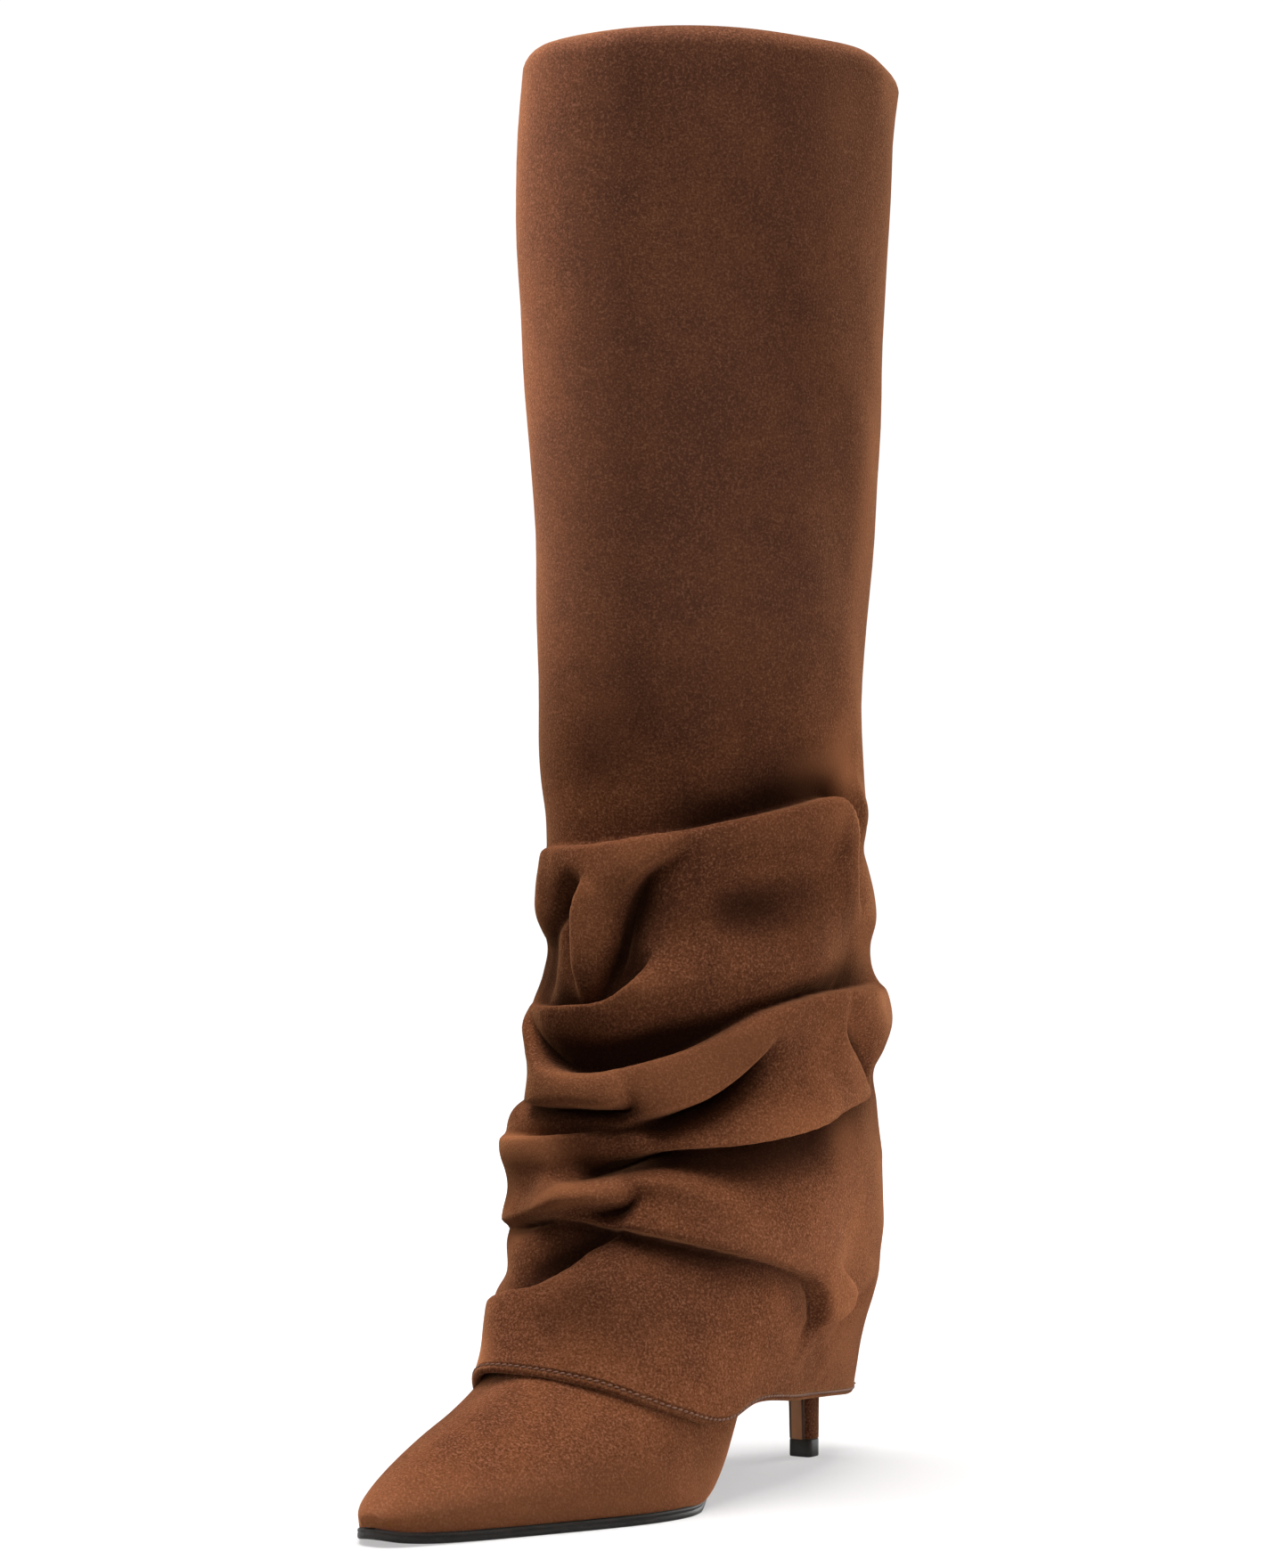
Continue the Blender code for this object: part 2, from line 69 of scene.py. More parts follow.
# The last, a row for each section from the toe to the ankle seam.
# bottom: where the section starts on the sole, or up the back of the heel.
# ridge: where it ends on the instep. edges: the feather line at the sole.
# sides: the widest half widths. widest: how far up the section they are.
Last = namedtuple("Last", "bottom_y bottom_z ridge_y ridge_z medial_edge lateral_edge "
                          "medial_side lateral_side widest power")
LAST = (
    Last(-251.0, 5.2, -251.8, 7.6, 9.3, -6.5, 9.5, -6.3, 0.40, 1.9),
    Last(-250.0, 4.8, -251.6, 10.0, 11.6, -3.0, 11.8, -2.4, 0.40, 1.9),
    Last(-246.0, 4.0, -247.2, 14.2, 15.4, 1.0, 15.6, 1.8, 0.38, 1.85),
    Last(-237.0, 3.3, -238.0, 18.6, 20.4, 6.5, 20.6, 7.5, 0.34, 1.8),
    Last(-222.0, 3.0, -223.0, 25.0, 26.6, 14.0, 26.8, 15.0, 0.30, 1.75),
    Last(-205.0, 3.0, -206.0, 32.0, 31.8, 22.3, 32.0, 23.3, 0.27, 1.74),
    Last(-188.0, 3.0, -188.5, 39.2, 35.0, 30.3, 35.2, 31.2, 0.25, 1.77),
    Last(-172.0, 3.0, -172.5, 48.3, 36.6, 36.4, 37.0, 37.0, 0.25, 1.82),
    Last(-158.0, 3.0, -157.0, 62.0, 36.5, 38.8, 37.2, 38.9, 0.22, 1.92),
    Last(-144.0, 3.3, -144.5, 76.0, 34.5, 37.6, 36.5, 37.7, 0.20, 2.0),
    Last(-128.0, 10.4, -133.5, 93.0, 29.5, 33.0, 34.5, 36.2, 0.26, 2.1),
    Last(-110.0, 27.5, -125.5, 110.0, 24.5, 27.5, 33.5, 34.5, 0.36, 2.2),
    Last(-90.0, 46.5, -119.0, 125.0, 21.5, 25.0, 31.0, 33.0, 0.38, 2.2),
    Last(-70.0, 62.8, -114.5, 136.0, 22.0, 24.5, 30.0, 31.5, 0.38, 2.2),
    Last(-52.0, 73.2, -111.5, 143.5, 23.5, 24.5, 29.5, 30.5, 0.36, 2.2),
    Last(-30.0, 78.7, -110.0, 148.0, 24.0, 24.0, 29.5, 30.0, 0.36, 2.2),
    Last(-13.0, 83.0, -109.0, 150.5, 17.5, 17.5, 29.5, 30.0, 0.36, 2.2),
    Last(-4.0, 85.2, -108.5, 152.5, 0.0, 0.0, 29.5, 30.0, 0.36, 2.2),
    Last(-2.8, 98.0, -108.2, 154.0, 0.0, 0.0, 30.5, 31.0, 0.38, 2.2),
    Last(-6.0, 116.0, -108.0, 155.3, 0.0, 0.0, 32.0, 32.5, 0.42, 2.2),
    Last(-10.5, 133.0, -108.0, 156.5, 0.0, 0.0, 33.5, 33.5, 0.46, 2.2),
    Last(-16.0, 150.0, -108.2, 157.5, 0.0, 0.0, 34.5, 34.5, 0.50, 2.2),
)
HEEL_BREAST_ROW = 14.0
INSOLE_FIRST_ROW = 1.5
INSOLE_LAST_ROW = 16.5
INSOLE_EASE = 1.6
TOE_ROWS = 3.0
SEAT_ROW = 14.0
HEEL_END_ROW = 17.0
TOE_TIP_REACH = 0.3
LAST_STEP = 0.125
TOE_FINE_ROW = 2.0
TOE_FINE_STEPS = 24
ARCH_TOP_POINTS = 30
ARCH_SIDE_POINTS = 12

# Sizes that the solids share
FIT_GAP = 0.3
SOLE_THICKNESS = 3.0
SOLE_LEDGE = 0.6
WAIST_SET_BACK = 3.0
WAIST_ROWS = (8.2, 9.8)
INSOLE_THICKNESS = 2.0
LIFT_HEIGHT = 5.7
BREAST_STRIP_THICKNESS = 0.9

# Edges of the sole, the insole and the heel's tip, a row for each line round the edge: how far it is
# drawn in and how high it lies
SOLE_EDGE = ((3.0, 0.0), (0.35, 0.0), (0.08, -0.12), (0.0, -0.4), (0.0, -0.85), (0.22, -1.0),
             (0.22, -1.15), (0.0, -1.3), (0.0, -2.4), (0.15, -2.8), (0.6, -3.0), (3.0, -3.0))
INSOLE_TOP = FIT_GAP + INSOLE_THICKNESS
INSOLE_EDGE = ((2.5, INSOLE_TOP), (0.4, INSOLE_TOP), (0.1, INSOLE_TOP - 0.2), (0.0, INSOLE_TOP - 0.5),
               (0.0, FIT_GAP))
LIFT_EDGE = ((0.45, 0.0), (0.12, 0.12), (0.0, 0.45), (0.0, LIFT_HEIGHT - 0.3), (0.25, LIFT_HEIGHT))

# The inner leg tube, a row for each ring from the ankle seam to the rim.
Ring = namedtuple("Ring", "back_y back_z front_y front_z half_width power")
SHAFT = (
    Ring(-16.3, 151.1, -108.6, 158.7, 34.5, 2.2),
    Ring(-22.0, 172.0, -116.0, 176.0, 35.8, 2.2),
    Ring(-30.0, 200.0, -126.0, 201.0, 38.0, 2.25),
    Ring(-36.0, 238.0, -133.0, 238.0, 40.3, 2.3),
    Ring(-32.3, 330.0, -135.2, 330.0, 42.5, 2.4),
    Ring(-30.2, 444.6, -135.8, 444.6, 44.3, 2.5),
)
SHAFT_COLUMNS = 128
SHAFT_ROWS = 80

# The stiletto heel, a row for each level from the seat to the tip.
Heel = namedtuple("Heel", "breast_y breast_z back_y back_z half_width")
HEEL = (
    Heel(-51.6, 72.6, -5.0, 84.1, 23.8),
    Heel(-45.0, 65.0, -6.6, 75.5, 18.5),
    Heel(-37.0, 54.0, -9.5, 62.0, 12.5),
    Heel(-31.8, 41.0, -12.8, 45.0, 8.4),
    Heel(-27.6, 24.0, -16.6, 25.5, 4.7),
    Heel(-26.4, 6.0, -17.6, 6.0, 4.2),
)
BREAST_POWER = 6.0
BREAST_STRIP_TOP_ROW = 0.7
BREAST_STRIP_WIDTH = 0.62
BREAST_STRIP_POINTS = 25
HEEL_COLUMNS = 72
HEEL_ROWS = 70

# The sleeve, a row for each level section from the slouch up to the rim. The rim leans, and it stands a
# little higher at the outer corner.
BOOT_HEIGHT = 450.0
RIM_RADIUS = 7.5
FACING_DEPTH = 25.0
RIM_TILT = 0.7
RIM_TILT_TURN = 31.5
RIM_LIFT = 1.6
RIM_LIFT_TURN = 98.0
RIM_LIFT_SPREAD = 22.0
RIM_CENTRE_HEIGHT = BOOT_HEIGHT - RIM_RADIUS
Oval = namedtuple("Oval", "height centre_y front back half_width front_power back_power")
SLEEVE = (
    Oval(100.0, -92.0, 61.0, 95.5, 50.0, 2.2, 1.78),
    Oval(140.0, -88.0, 60.0, 82.0, 49.0, 2.3, 1.85),
    Oval(170.0, -87.0, 57.0, 72.0, 47.5, 2.3, 1.9),
    Oval(205.0, -85.0, 55.5, 60.0, 47.0, 2.3, 2.1),
    Oval(235.0, -85.0, 55.0, 55.0, 46.5, 2.3, 2.3),
    Oval(340.0, -84.0, 59.5, 59.5, 51.0, 2.3, 2.3),
    Oval(RIM_CENTRE_HEIGHT, -83.0, 63.5, 63.5, 55.0, 2.3, 2.3),
)
DRAPE_HEIGHT = SLEEVE[0].height
SLOUCH_TOP = 235.0

# The hem, a row for each corner of its loop. turn is the angle about the leg, from the front to the
# outer side and on round the back.
Hem = namedtuple("Hem", "turn x y height")
HEM = (
    Hem(-180.0, 0.0, 10.0, 18.5),
    Hem(-145.0, -22.0, -28.0, 21.0),
    Hem(-110.0, -36.0, -80.0, 25.0),
    Hem(-70.0, -43.5, -128.0, 27.0),
    Hem(-38.0, -32.4, -165.8, 32.5),
    Hem(-14.0, -16.0, -184.5, 42.0),
    Hem(4.0, 1.0, -184.0, 42.6),
    Hem(22.0, 19.5, -178.5, 39.6),
    Hem(45.0, 38.0, -162.0, 30.8),
    Hem(65.0, 43.2, -142.0, 25.6),
    Hem(84.0, 41.6, -117.5, 29.4),
    Hem(102.0, 37.6, -93.0, 27.4),
    Hem(140.0, 23.0, -34.0, 22.5),
    Hem(180.0, 0.0, 10.0, 18.5),
)

# How finely the sleeve is drawn
SLEEVE_COLUMNS = 300
SLEEVE_TURNS = np.linspace(-180.0, 180.0, SLEEVE_COLUMNS, endpoint=False)
DRAPE_ROWS = 60
SLOUCH_ROWS = 140
STRAIGHT_ROWS = 24
RIM_ROWS = 14
FACING_ROWS = 5
INNER_ROWS = 48
INNER_REACH = 5
INNER_SIDE_STEPS = (-2, -1, 1, 2)
HEM_ROWS = 5

# The rounded edge of the hem, the rows over which its leather thins, and its stitches
HEM_ROUND = 1.5
HEM_THIN_ROWS = 8.0
STITCH_LIFT = 0.05
STITCH_SLANT = 0.35
STITCH_SEGMENTS = 8
STITCH_RINGS = 5
STITCH_UNEVEN = (0.88, 1.08)
STITCH_SEED = 7

# The folds of the sleeve, a row for each. A fold follows a path of (turn in degrees,
# height, strength) points; a degree is about a millimetre on the leather. A fold with a lip sinks in on
# one side of its path, above it for lip +1 and below for -1, and rolls up to a ridge on the other; roll
# is how far the leather takes from the crease to the ridge, and curl how far the ridge laps over. A fold
# without a lip is a soft ridge or trough along its path.
Fold = namedtuple("Fold", "name path ridge trough ridge_width trough_width roll curl lip",
                  defaults=(0.0, 0.0, 1.0, 1.0, 1.0, 0.0, 0))
FOLDS = (
    Fold("upper lip",
         ((-44, 199, 0.1), (-28, 200, 0.35), (-8, 200, 0.5), (25, 204, 0.85), (42, 207, 1.0),
          (59, 210, 1.0), (78, 213, 1.0), (90, 214.5, 1.0), (96, 213.5, 1.0), (100, 210, 1.0),
          (103, 204, 0.9), (107, 197, 0.7), (114, 188, 0.4), (122, 179, 0.0)),
         ridge=3.0, trough=5.6, ridge_width=8, trough_width=8.5, roll=3.0, curl=3.2, lip=1),
    Fold("upper band",
         ((-36, 190, 0.3), (-8, 191, 0.7), (25, 194, 1.0), (59, 200, 1.0), (84, 204, 1.0),
          (98, 203, 0.7), (108, 195, 0.2)),
         ridge=3.4, ridge_width=9),
    Fold("shaft tuck",
         ((18, 211, 0.0), (40, 215, 0.7), (68, 220, 1.0), (98, 222, 0.6), (114, 222, 0.0)),
         trough=2.4, trough_width=16),
    Fold("hidden bump", ((106, 219, 0.3), (116, 213, 1.0), (126, 205, 0.4)), ridge=3.0, ridge_width=6),
    Fold("long panel",
         ((-10, 142, 0.3), (8, 147, 0.8), (30, 156, 1.0), (55, 160, 1.0), (85, 165, 0.6),
          (110, 168, 0.0)),
         ridge=4.0, ridge_width=12),
    Fold("panel hollow",
         ((30, 178, 0.3), (42, 181, 0.9), (56, 184, 1.0), (72, 186, 0.8), (90, 187, 0.3),
          (104, 186, 0.0)),
         trough=3.8, trough_width=12),
    Fold("drape lip",
         ((33, 199, 0.0), (27, 197.5, 0.25), (20, 194.5, 0.6), (14.5, 191.5, 0.9), (10.5, 187.5, 1.0),
          (8, 183, 1.0), (6, 176.5, 1.0), (4.5, 169, 1.0), (2, 162, 0.9), (0, 156, 0.5),
          (-3, 151, 0.0)),
         ridge=2.2, trough=9.5, ridge_width=7, trough_width=8, roll=2.5, curl=2.4, lip=1),
    Fold("drape roll",
         ((-1, 193, 0.2), (-2, 180, 1.0), (-4, 166, 1.0), (-7, 155, 0.5)),
         ridge=2.6, ridge_width=5),
    Fold("drape edge",
         ((-7, 191, 0.0), (-9, 186, 0.7), (-11, 180, 1.0), (-11.5, 171, 0.8), (-11, 163, 0.5),
          (-10, 156, 0.2), (-10, 151, 0.0)),
         ridge=2.6, trough=4.5, ridge_width=6, trough_width=3.5, roll=3.2, curl=1.8, lip=-1),
    Fold("left slit",
         ((-9, 191, 0.0), (-12, 187, 0.8), (-17, 181, 1.2), (-24, 174, 0.7), (-29, 169, 0.1)),
         trough=3.4, trough_width=3.2),
    Fold("left roll", ((-32, 193, 0.4), (-34, 182, 1.0), (-37, 174, 0.5)), ridge=2.8, ridge_width=6),
    Fold("slack side",
         ((-28, 166, 0.6), (-34, 159, 1.0), (-44, 157, 0.6)),
         trough=3.0, trough_width=7.0),
    Fold("front lip",
         ((-50, 152, 0.0), (-34, 151, 0.5), (-19, 150, 1.0), (-8, 150.5, 1.0), (0, 151, 1.0),
          (6, 153, 1.0), (11, 156.5, 1.0), (14, 161, 0.7), (17, 168, 0.0)),
         ridge=4.2, trough=6.0, ridge_width=9, trough_width=6, roll=3.0, curl=3.0, lip=1),
    Fold("middle roll",
         ((-46, 150, 0.0), (-37, 146, 0.25), (-29, 139, 0.55), (-21, 133.5, 0.9), (-11, 130.5, 1.0),
          (0, 130, 1.0), (8, 131, 1.0), (20, 134.5, 0.95), (31, 139, 0.8), (43, 145, 0.65),
          (55, 150, 0.6), (82, 154, 0.7), (108, 155, 0.8), (126, 156, 0.5), (150, 157, 0.0)),
         ridge=4.4, trough=10.0, ridge_width=8, trough_width=9, roll=3.5, curl=3.4, lip=1),
    Fold("middle hollow",
         ((-24, 144, 0.2), (-10, 140, 0.6), (8, 140, 1.0), (24, 144.5, 0.8), (40, 152, 0.3),
          (54, 157, 0.0)),
         trough=4.5, trough_width=9),
    Fold("middle band",
         ((-14, 125, 0.2), (0, 123, 0.8), (20, 125.5, 1.0), (43, 137, 1.0), (60, 143, 0.8),
          (84, 145, 0.3)),
         ridge=2.2, ridge_width=6),
    Fold("middle right bulge",
         ((104, 152, 0.4), (120, 146, 1.0), (134, 136, 0.5)),
         ridge=3.0, ridge_width=8),
    Fold("middle right crease",
         ((98, 148, 0.2), (106, 142, 1.0), (115, 136, 1.0), (122, 129, 0.6)),
         trough=5.5, trough_width=2.8),
    Fold("middle left lip",
         ((-50, 126, 0.3), (-32, 122, 1.0), (-18, 120, 1.0), (-7, 120, 1.0), (2, 120, 1.15),
          (8, 120.5, 1.3), (12, 121, 0.95), (14.5, 122, 0.35), (16, 123, 0.0)),
         ridge=2.8, trough=10.0, ridge_width=7, trough_width=3.0, roll=3.0, curl=3.0, lip=-1),
    Fold("slanting valley",
         ((14, 115.5, 0.2), (22, 118, 1.0), (29, 120.5, 1.2), (36, 123.5, 1.2), (43, 128, 1.0),
          (49, 132.5, 0.75), (55, 137, 0.4), (59, 141, 0.0)),
         ridge=2.0, trough=13.0, ridge_width=6, trough_width=5, roll=3.8, curl=2.6, lip=-1),
    Fold("lower roll crease",
         ((-52, 110, 0.0), (-40, 110, 0.3), (-24, 110, 0.9), (-11, 111, 1.0), (2, 113, 0.8),
          (10, 114, 0.7), (17, 115, 0.5), (29, 116, 0.2), (38, 118, 0.0)),
         ridge=2.2, trough=4.5, ridge_width=7, trough_width=3.0, roll=2.5, curl=2.4, lip=1),
    Fold("left bulge", ((-54, 106, 0.5), (-32, 105, 1.0), (-12, 104, 0.5)), ridge=3.0, ridge_width=8),
    Fold("lower roll",
         ((-4, 98, 0.1), (2, 101.5, 0.6), (9, 105, 1.0), (23, 108, 1.0), (37, 109, 1.0), (49, 110, 1.1),
          (79, 114, 1.05), (95, 116, 0.65), (110, 118, 0.5), (121, 119, 0.4), (140, 121, 0.0)),
         ridge=4.8, trough=11.0, ridge_width=8, trough_width=11, roll=3.5, curl=3.4, lip=-1),
    Fold("tongue pocket",
         ((-11, 100.5, 0.0), (-7, 101, 0.5), (-2, 102.5, 1.1), (5, 104.5, 1.2), (11, 106.5, 1.0),
          (19, 108, 0.4)),
         trough=9.0, trough_width=6.0),
    Fold("tongue",
         ((-22, 89, 0.0), (-14, 89.5, 0.3), (-7, 91.5, 0.7), (-3, 93.5, 0.9), (4, 97, 1.0),
          (14, 99, 1.0), (25, 98.5, 0.9), (37, 95.5, 0.5), (50, 91, 0.1)),
         ridge=7.0, ridge_width=5),
    Fold("tongue lip",
         ((-56, 80, 0.0), (-44, 81.5, 0.3), (-26, 84.5, 0.9), (-10, 88, 1.0), (1, 91, 1.0),
          (9, 92, 1.45), (14, 92.5, 1.25), (17, 94, 0.4), (18.5, 96, 0.0)),
         ridge=2.2, trough=7.0, ridge_width=6, trough_width=2.6, roll=2.5, curl=2.5, lip=-1),
    Fold("apron lip",
         ((-18, 86, 0.0), (-8, 86.5, 0.4), (0, 87, 0.7), (11, 85.5, 0.9), (28, 82.5, 1.0),
          (44, 78.5, 1.0), (64, 73.5, 0.9), (78, 70, 0.8), (88, 67, 0.7), (94, 64, 0.8),
          (98, 60.5, 0.8), (100, 56.5, 0.75), (100, 52.5, 0.5), (96, 49.5, 0.2), (92, 48, 0.0)),
         ridge=5.0, trough=5.5, ridge_width=16, trough_width=5, roll=3.2, curl=3.2, lip=-1),
    Fold("knuckle",
         ((94, 72.5, 0.0), (104, 70, 0.2), (112, 66, 0.7), (117, 62, 1.0), (118.5, 59, 1.0),
          (116, 56, 1.0), (110, 53.2, 0.8), (104, 51, 0.4), (99, 49.5, 0.0)),
         ridge=2.6, trough=2.4, ridge_width=6, trough_width=4, roll=2.5, curl=2.2, lip=1),
    Fold("side pocket",
         ((-14, 70, 0.3), (-6, 72, 0.9), (2, 74.5, 1.0), (8, 78, 0.6)),
         trough=6.0, trough_width=6),
    Fold("hem lip",
         ((-50, 53, 0.1), (-40, 56, 0.3), (-28, 61, 0.8), (-14, 65, 1.0), (-6, 67, 1.0), (0, 73, 1.0),
          (6, 79, 0.8), (12, 84, 0.2)),
         ridge=3.0, trough=4.4, ridge_width=10, trough_width=5, roll=3.0, curl=2.8, lip=1),
    Fold("ankle crease",
         ((112, 48, 0.3), (121, 52, 1.0), (132, 57, 0.8), (144, 60, 0.0)),
         ridge=1.5, trough=2.0, ridge_width=6, trough_width=3.0, roll=3.0, lip=-1),
    Fold("hem dimple", ((98, 45, 0.2), (105, 41, 1.0), (113, 34, 0.4)), trough=1.6, trough_width=7.0),
    Fold("back lip",
         ((160, 178, 0.0), (200, 172, 1.0), (250, 186, 1.0), (288, 196, 0.7), (312, 198, 0.0)),
         ridge=5.0, trough=4.0, ridge_width=11, trough_width=7, roll=5.0, curl=3.0, lip=1),
    Fold("back roll",
         ((168, 150, 0.0), (205, 158, 1.0), (255, 140, 1.0), (300, 138, 0.0)),
         ridge=5.5, trough=3.0, ridge_width=11, trough_width=6, roll=5.0, curl=3.0, lip=1),
    Fold("back lower roll",
         ((165, 112, 0.0), (200, 118, 1.0), (250, 104, 1.0), (296, 112, 0.0)),
         ridge=5.0, ridge_width=10),
    Fold("inner side valley",
         ((222, 168, 0.0), (240, 158, 1.0), (262, 152, 1.0), (284, 156, 0.0)),
         trough=4.0, trough_width=6.0),
    Fold("back apron",
         ((160, 72, 0.0), (195, 78, 1.0), (245, 72, 1.0), (296, 80, 0.0)),
         ridge=5.0, trough=4.0, ridge_width=12, trough_width=7, roll=5.0, curl=3.0, lip=-1),
)

# How far the sleeve stands out along its front inner side and its outer back side, by height
Side = namedtuple("Side", "height inner_front outer_back")
SIDES = (
    Side(0.0, 0.0, 0.0),
    Side(28.0, -1.0, 0.0),
    Side(39.0, -1.5, -0.5),
    Side(46.0, -1.0, 0.0),
    Side(54.0, 0.0, 1.2),
    Side(61.0, 1.0, 1.8),
    Side(69.0, -1.8, 1.0),
    Side(77.0, 0.0, 0.8),
    Side(85.0, 1.5, -0.2),
    Side(93.0, 1.5, -1.0),
    Side(102.0, 2.5, -2.0),
    Side(110.0, 3.0, -3.0),
    Side(118.0, 2.0, -3.4),
    Side(126.0, -7.0, -3.9),
    Side(135.0, -2.8, 0.7),
    Side(143.0, -1.0, 4.0),
    Side(151.0, -1.0, 3.5),
    Side(160.0, -4.0, 0.0),
    Side(168.0, -5.5, 0.0),
    Side(176.0, -2.0, 2.4),
    Side(185.0, -2.0, 2.2),
    Side(193.0, -2.0, 0.5),
    Side(201.0, -2.0, -1.7),
    Side(210.0, -1.7, 0.5),
    Side(218.0, -0.7, 0.0),
    Side(250.0, 0.3, 0.0),
    Side(320.0, 0.3, 0.7),
    Side(425.0, 0.3, 1.4),
    Side(RIM_CENTRE_HEIGHT, -1.6, 2.3),
)
INNER_FRONT_TURN = -44.0
OUTER_BACK_TURN = 146.0
SIDE_SPREAD = 20.0
PATH_SAMPLES = 28
FOLD_REACH = 45.0
SMOOTHING_PASSES = 1

# Slow unevenness of the leather, a row for each wave round and up the sleeve
Wave = namedtuple("Wave", "round_turns up_length phase depth")
WAVES = (
    Wave(3, 150.0, 0.4, 0.35),
    Wave(5, 95.0, 1.9, 0.30),
    Wave(8, 60.0, 4.1, 0.18),
    Wave(11, 38.0, 2.7, 0.12),
)

# Patches of painted light and shade on the sleeve, each lighter or darker: turn and height of the
# middle, how far each reaches round and up, and how strongly it shows
Patch = namedtuple("Patch", "turn height round up amount")
LIGHT_AND_SHADE_PATCHES = (
    Patch(18.0, 243.0, 44.0, 28.0, -0.38),
    Patch(-45.0, 236.0, 20.0, 28.0, -0.45),
    Patch(114.0, 303.0, 13.0, 48.0, 0.50),
    Patch(112.0, 368.0, 12.0, 20.0, -0.25),
    Patch(105.0, 229.0, 14.0, 18.0, 0.45),
    Patch(85.0, 428.0, 26.0, 20.0, 0.30),
    Patch(8.0, 330.0, 32.0, 48.0, 0.15),
    Patch(28.0, 56.0, 34.0, 15.0, -0.25),
    Patch(-22.0, 42.0, 15.0, 14.0, 0.70),
    Patch(-36.0, 180.0, 8.0, 12.0, 0.60),
    Patch(-32.0, 107.0, 14.0, 8.0, 0.50),
    Patch(-12.0, 94.0, 18.0, 4.0, -0.45),
    Patch(-30.0, 82.0, 12.0, 6.0, 0.40),
    Patch(42.0, 138.0, 24.0, 8.0, -0.45),
    Patch(16.0, 128.0, 14.0, 6.0, -0.25),
    Patch(6.0, 63.0, 18.0, 12.0, -0.30),
    Patch(85.0, 221.0, 20.0, 9.0, 0.70),
    Patch(-6.0, 226.0, 16.0, 12.0, -0.35),
    Patch(70.0, 177.0, 30.0, 8.0, -0.32),
    Patch(108.0, 178.0, 10.0, 10.0, -0.35),
    Patch(108.0, 111.0, 14.0, 9.0, 0.55),
    Patch(108.0, 136.0, 9.0, 14.0, 0.35),
    Patch(-9.0, 106.0, 16.0, 6.0, 0.40),
)

# The studio's soft boxes, in metres and watts
Lamp = namedtuple("Lamp", "name where target width height spread power")
LAMPS = (
    Lamp("top_softbox", (0.0, -0.15, 1.75), (0.0, -0.02, 0.05), 1.6, 1.6, 180.0, 84.0),
    Lamp("left_strip", (-1.25, -0.10, 0.55), (0.0, 0.0, 0.405), 0.45, 0.30, 12.0, 1.3),
    Lamp("left_fill", (-1.20, 0.10, 0.70), (0.0, 0.0, 0.20), 0.5, 0.9, 180.0, 9.0),
    Lamp("right_strip", (0.40, 1.50, 0.45), (0.0, 0.0, 0.20), 0.55, 0.9, 180.0, 28.0),
    Lamp("front_fill", (0.95, -1.55, 0.60), (0.0, -0.10, 0.35), 0.9, 0.5, 180.0, 5.0),
    Lamp("floor_card", (0.21, 0.02, 0.004), (0.21, 0.02, 1.0), 0.24, 0.40, 180.0, 1.1),
    Lamp("low_right", (1.05, 0.55, 0.10), (0.0, -0.04, 0.055), 0.36, 0.08, 10.0, 0.05),
    Lamp("low_front", (0.78, -1.40, 0.03), (0.0, -0.13, -0.004), 0.40, 0.02, 3.6, 0.036),
    Lamp("low_left", (-1.10, -0.75, 0.08), (0.0, -0.13, 0.02), 0.30, 0.05, 8.0, 0.07),
)

# The studio's floor, its white ground and the camera, with distances on the boot in millimetres and those
# of the picture in pixels
FLOOR_REACH = 6.0
FLOOR_GLOW = (0.45, 0.44, 0.44)
FLOOR_GLOW_FROM = 0.45
FLOOR_GLOW_TO = 1.40
SKY_SEEN = 1.05
SKY_LOW = -0.35
SKY_HIGH = 0.10
SKY_LOW_LIGHT = 0.16
SKY_HIGH_LIGHT = 0.08
WHITE = (1.0, 1.0, 1.0)
CAMERA_TURN = 31.5
CAMERA_DISTANCE = 1362.0
CAMERA_HEIGHT = 192.0
CAMERA_AIM = (0.0, -60.0, 220.0)
CAMERA_ASIDE = 33.3
SENSOR_HEIGHT = 36.0
FOCAL_PIXELS = 4746.0
IMAGE_PIXELS = 1760.0

# How strongly the suede's flecks and pits, the painted shade in its folds, the wear and painted highlight
# on its ridges, the painted light along the sole, the painted grey haze up the straight leg and the seam
# show, and how far the seam's groove reaches below and above its stitches
FLECK_SHARE = 0.55
PIT_SHARE = 0.55
CREASE_SHADE_SHARE = 0.82
RIDGE_WEAR_AND_HIGHLIGHT_SHARE = 0.30
SOLE_EDGE_LIGHT_SHARE = 0.42
LEG_HAZE_SHARE = 0.16
SEAM_SHARE = 0.35
SEAM_BELOW = 1.1
SEAM_ABOVE = 1.3


def through(rows, at):
    """Read every column of a table at the given values of its first column, on smooth curves."""
    rows = np.array(rows, dtype=float)
    key = rows[:, 0]
    slope = np.gradient(rows, key, axis=0)
    at = np.clip(np.atleast_1d(np.asarray(at, dtype=float)), key[0], key[-1])
    low = np.clip(np.searchsorted(key, at, side="right") - 1, 0, len(key) - 2)
    step = (key[low + 1] - key[low])[:, None]
    t = (at - key[low])[:, None] / step
    return (rows[low] * (2 * t ** 3 - 3 * t ** 2 + 1) + slope[low] * step * (t ** 3 - 2 * t ** 2 + t)
            + rows[low + 1] * (3 * t ** 2 - 2 * t ** 3) + slope[low + 1] * step * (t ** 3 - t ** 2))


def along(rows, at):
    """Read a table at row numbers, which may be fractions: a smooth run through its rows."""
    numbered = [(number,) + tuple(row) for number, row in enumerate(rows)]
    return through(numbered, at)[:, 1:]


def ease(low, high, value):
    """A smooth step from 0 at low to 1 at high."""
    t = np.clip((value - low) / (high - low), 0.0, 1.0)
    return t * t * (3.0 - 2.0 * t)


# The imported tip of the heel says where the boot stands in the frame.
LIFT_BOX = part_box("top_lift")
SEAT_SHIFT = ((LIFT_BOX[0][1] + LIFT_BOX[1][1]) / MM - HEEL[-1].breast_y - HEEL[-1].back_y) / 2


